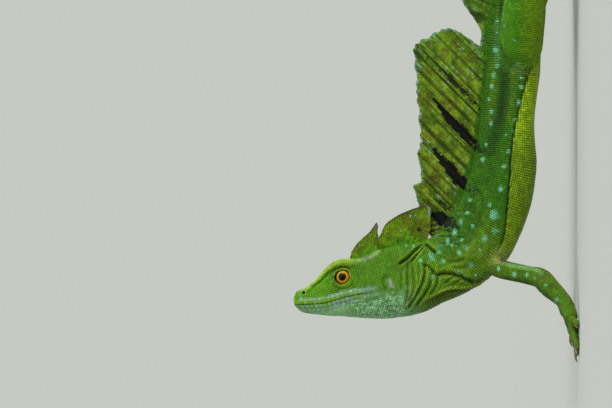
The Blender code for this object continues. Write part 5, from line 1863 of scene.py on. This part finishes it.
def make_head_crest(kind, rays, bend, materials):
    """A crest of the head: a thin curved sheet with faint ribs fanning out to its edge, and its scales."""
    fine = np.linspace(0, len(rays) - 1, (len(rays) - 1) * CREST_COLUMNS + 1)
    values = rows_at([(place, *foot, *tip) for place, (foot, tip) in enumerate(rays)], fine)
    feet = np.array([head_place(a, h - CREST_SINK) for a, h in values[:, :2]])
    tips = np.array([head_place(a, h, bend) for a, h in values[:, 2:]])
    ribs = 0.5 - 0.5 * np.cos(2 * np.pi * fine * 1.5)
    half = (0.95 - 0.68 * np.linspace(0, 1, CREST_ROWS)) * (0.86 + 0.14 * ribs[:, None]) + 0.02
    half[:, -1] *= 0.4

    def paint(places, columns, shares):
        return paint_crest(places, columns / (len(fine) - 1), shares, kind)

    make_sheet(f"crest_{kind}_ribs", feet, tips, half, paint, 1.2, 0.95, materials, f"head_crest_{kind}")


def make_eyes(material):
    """Each eyeball, with the distance from the middle of its iris kept for the material."""
    for side, word in ((-1, "left"), (1, "right")):
        centre, look, across, upward = eye_frame(side)
        shape = bmesh.new()
        bmesh.ops.create_uvsphere(shape, u_segments=64, v_segments=48, radius=EYE_RADIUS)
        mesh = mesh_of(shape, f"eyeball_{word}")
        local = vertex_array(mesh)
        radius = np.hypot(local[:, 0], local[:, 1])
        front = local[:, 2] > 0
        local[:, 2] += 0.22 * ease(radius, 2.6, 0) * front
        places = centre + local @ np.stack([across, upward, look])
        mesh.vertices.foreach_set("co", places.reshape(-1))
        layer = mesh.attributes.new("iris", "FLOAT", "POINT")
        layer.data.foreach_set("value", np.where(front, radius, BEHIND_IRIS).astype(np.float32))
        shape = bmesh.new()
        shape.from_mesh(mesh)
        bmesh.ops.recalc_face_normals(shape, faces=shape.faces)
        shape.to_mesh(mesh)
        shape.free()
        mesh.shade_smooth()
        show(mesh, material, (f"eye_{word}",))


def make_claws(material):
    """The hooked claws of all the fingers and toes."""
    for limb, word in (("arm", "hands"), ("leg", "feet")):
        joined = bmesh.new()
        for root, heading, length, _ in (digit[1:] for digit in digit_plan() if digit[0] == limb):
            t = join([[0], np.linspace(0, 1, 12)])
            reach = length - DIGIT_ROOT + (CLAW_LENGTH + DIGIT_ROOT) * np.sin(t * 1.35) / math.sin(1.35)
            centre = np.array((root[0], root[1], 0.0)) + heading * reach[:, None]
            centre[:, 2] += 1.55 + 0.75 * np.sin(t * np.pi) - 1.25 * t
            run = unit(np.gradient(centre, axis=0) + 1e-6 * heading)
            thick = CLAW_RADIUS * (1 - 0.92 * t**1.3)
            thick[0] = 0.0
            mesh = grid_mesh("claw", ring_points(centre, run, thick * 0.72, thick, 12))
            joined.from_mesh(mesh)
            bpy.data.meshes.remove(mesh)
        mesh = mesh_of(joined, f"claws_{word}")
        mesh.shade_smooth()
        show(mesh, material)


def set_up(node, settings):
    """Sets a node's inputs and its own choices by their names."""
    for key, value in settings.items():
        if key in node.inputs:
            node.inputs[key].default_value = value
        else:
            setattr(node, key, value)
    return node


def add(tree, kind, **settings):
    return set_up(tree.nodes.new(kind), settings)


def texture(tree, kind, **settings):
    """A texture node that follows the piece's own places."""
    node = add(tree, kind, **settings)
    where = add(tree, "ShaderNodeTexCoord")
    tree.links.new(where.outputs["Object"], node.inputs["Vector"])
    return node


def new_material(name, **settings):
    """A new material and its node tree, with its surface's node set up."""
    material = bpy.data.materials.new(name)
    material.use_nodes = True
    tree = material.node_tree
    return material, tree, set_up(tree.nodes["Principled BSDF"], settings)


def lay_ramp(tree, factor, stops, shader):
    """Colours a surface by a ramp over a factor, from the places and colours of its stops."""
    ramp = add(tree, "ShaderNodeValToRGB")
    elements = ramp.color_ramp.elements
    for element, (place, colour) in zip(elements, (stops[0], stops[-1])):
        element.position, element.color = place, (*colour, 1)
    for place, colour in stops[1:-1]:
        element = elements.new(place)
        element.color = (*colour, 1)
    tree.links.new(factor, ramp.inputs["Fac"])
    tree.links.new(ramp.outputs["Color"], shader.inputs["Base Color"])


def scaly_skin(name, roughness, grain, depth, shine):
    """Skin whose colour comes from its markings, clouded by fine noise, with a fine grain."""
    material, tree, shader = new_material(name, **{"Roughness": roughness, "Specular IOR Level": shine})
    link = tree.links.new
    markings = add(tree, "ShaderNodeAttribute", attribute_name="markings")
    cloud = texture(tree, "ShaderNodeTexNoise", Scale=420.0, Detail=4.0, Roughness=0.6)
    limits = {"From Min": 0.3, "From Max": 0.7, "To Min": 0.78, "To Max": 1.22}
    tone = add(tree, "ShaderNodeMapRange", **limits)
    link(cloud.outputs["Fac"], tone.inputs["Value"])
    vary = add(tree, "ShaderNodeVectorMath", operation="SCALE")
    link(markings.outputs["Color"], vary.inputs[0])
    link(tone.outputs["Result"], vary.inputs["Scale"])
    link(vary.outputs["Vector"], shader.inputs["Base Color"])
    fine = texture(tree, "ShaderNodeTexVoronoi", Scale=grain)
    bump = add(tree, "ShaderNodeBump", Strength=depth, Distance=0.0001)
    link(fine.outputs["Distance"], bump.inputs["Height"])
    link(bump.outputs["Normal"], shader.inputs["Normal"])
    return material


def eye_glaze():
    """A black pupil and a golden iris, orange and then dark at its rim, with a wet gloss."""
    gloss = {"Roughness": 0.4, "Specular IOR Level": 0.03, "Coat Weight": 0.22, "Coat Roughness": 0.02}
    material, tree, shader = new_material("wet eye", **gloss)
    iris = add(tree, "ShaderNodeAttribute", attribute_name="iris")
    streak = texture(tree, "ShaderNodeTexNoise", Scale=900.0, Detail=3.0)
    shift = add(tree, "ShaderNodeMath", operation="MULTIPLY_ADD")
    shift.inputs[1].default_value = 0.14
    tree.links.new(streak.outputs["Fac"], shift.inputs[0])
    tree.links.new(iris.outputs["Fac"], shift.inputs[2])
    share = add(tree, "ShaderNodeMath", operation="DIVIDE")
    share.inputs[1].default_value = IRIS_REACH
    tree.links.new(shift.outputs["Value"], share.inputs[0])
    lay_ramp(tree, share.outputs["Value"], IRIS_COLOURS, shader)
    return material


def claw_horn():
    """Dark brown horn with a fine, lighter grain."""
    material, tree, shader = new_material("claw horn", Roughness=0.3)
    grain = texture(tree, "ShaderNodeTexNoise", Scale=700.0, Detail=3.0)
    lay_ramp(tree, grain.outputs["Fac"], CLAW_COLOURS, shader)
    return material


def make_floor():
    """The plain pale floor under the animal."""
    shape = bmesh.new()
    bmesh.ops.create_circle(shape, cap_ends=True, segments=96, radius=FLOOR_RADIUS)
    mesh = mesh_of(shape, "floor")
    matt = {"Base Color": (*FLOOR_GREY, 1), "Roughness": 0.9}
    mesh.materials.append(new_material("pale floor", **matt)[0])
    in_scene("floor", mesh)


def make_lights():
    """A wide soft light from above, behind and the animal's left, in an even pale studio, and a small weak
    one on each side that glints in the eyes."""
    world = bpy.data.worlds.new("studio")
    world.use_nodes = True
    background = world.node_tree.nodes["Background"]
    set_up(background, {"Color": (*STUDIO_LIGHT, 1), "Strength": 0.7})
    bpy.context.scene.world = world
    for name, energy, angle, direction in LAMPS:
        data = bpy.data.lights.new(name, "SUN")
        data.energy = energy
        data.angle = math.radians(angle)
        lamp = in_scene(name, data)
        lamp.rotation_mode = "QUATERNION"
        lamp.rotation_quaternion = (-Vector(direction)).to_track_quat("-Z", "Y")


def make_camera():
    """A long lens low beside the animal, rolled so that the tail is at the top and the floor at the
    right."""
    data = bpy.data.cameras.new("camera")
    data.lens, data.sensor_width = 135.0, 36.0
    camera = in_scene("camera", data)
    centre = Vector(metres(PICTURE_MIDDLE))
    distance = PICTURE_WIDTH * MM * data.lens / data.sensor_width
    place = Vector((centre.x, centre.y - distance, CAMERA_HEIGHT * MM))
    look = (centre - place).normalized()
    upward = Vector((1, 0, 0))
    rightward = look.cross(upward)
    turned = Matrix((rightward, upward, -look)).transposed().to_4x4()
    camera.matrix_world = Matrix.Translation(place) @ turned
    data.clip_start, data.clip_end = 0.05, 50.0
    bpy.context.scene.camera = camera


def main():
    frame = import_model()
    bpy.context.scene.view_settings.view_transform = "Standard"
    make_camera()
    make_lights()
    make_floor()
    skin_material, scale_material, *crest_materials = (scaly_skin(*row) for row in SKINS)
    skin, sleeves, (labels, colours, seam_share) = make_skin()
    ground = ground_of(skin, labels)
    make_coat(ground, sleeves, (colours, seam_share), scale_material)
    lip_plates(ground, scale_material)
    others = ("eye", "crest", "sail")
    flesh = [name for name in frame["nodes"] if not any(word in name for word in others)]
    show(skin, skin_material, flesh)
    sail = (BACK_SAIL, BACK_SAIL_RAYS, BACK_SAIL_LEAN, True, SAIL_FRONT_BEND)
    make_sail("back_sail_rays", *sail, crest_materials, "back_sail")
    sail = (TAIL_SAIL, TAIL_SAIL_RAYS, TAIL_SAIL_LEAN, False, None)
    make_sail("tail_sail_rays", *sail, crest_materials, "tail_sail")
    make_head_crest("front", FRONT_CREST, 0.0, crest_materials)
    make_head_crest("rear", REAR_CREST, REAR_CREST_BEND, crest_materials)
    make_eyes(eye_glaze())
    make_claws(claw_horn())
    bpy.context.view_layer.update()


main()
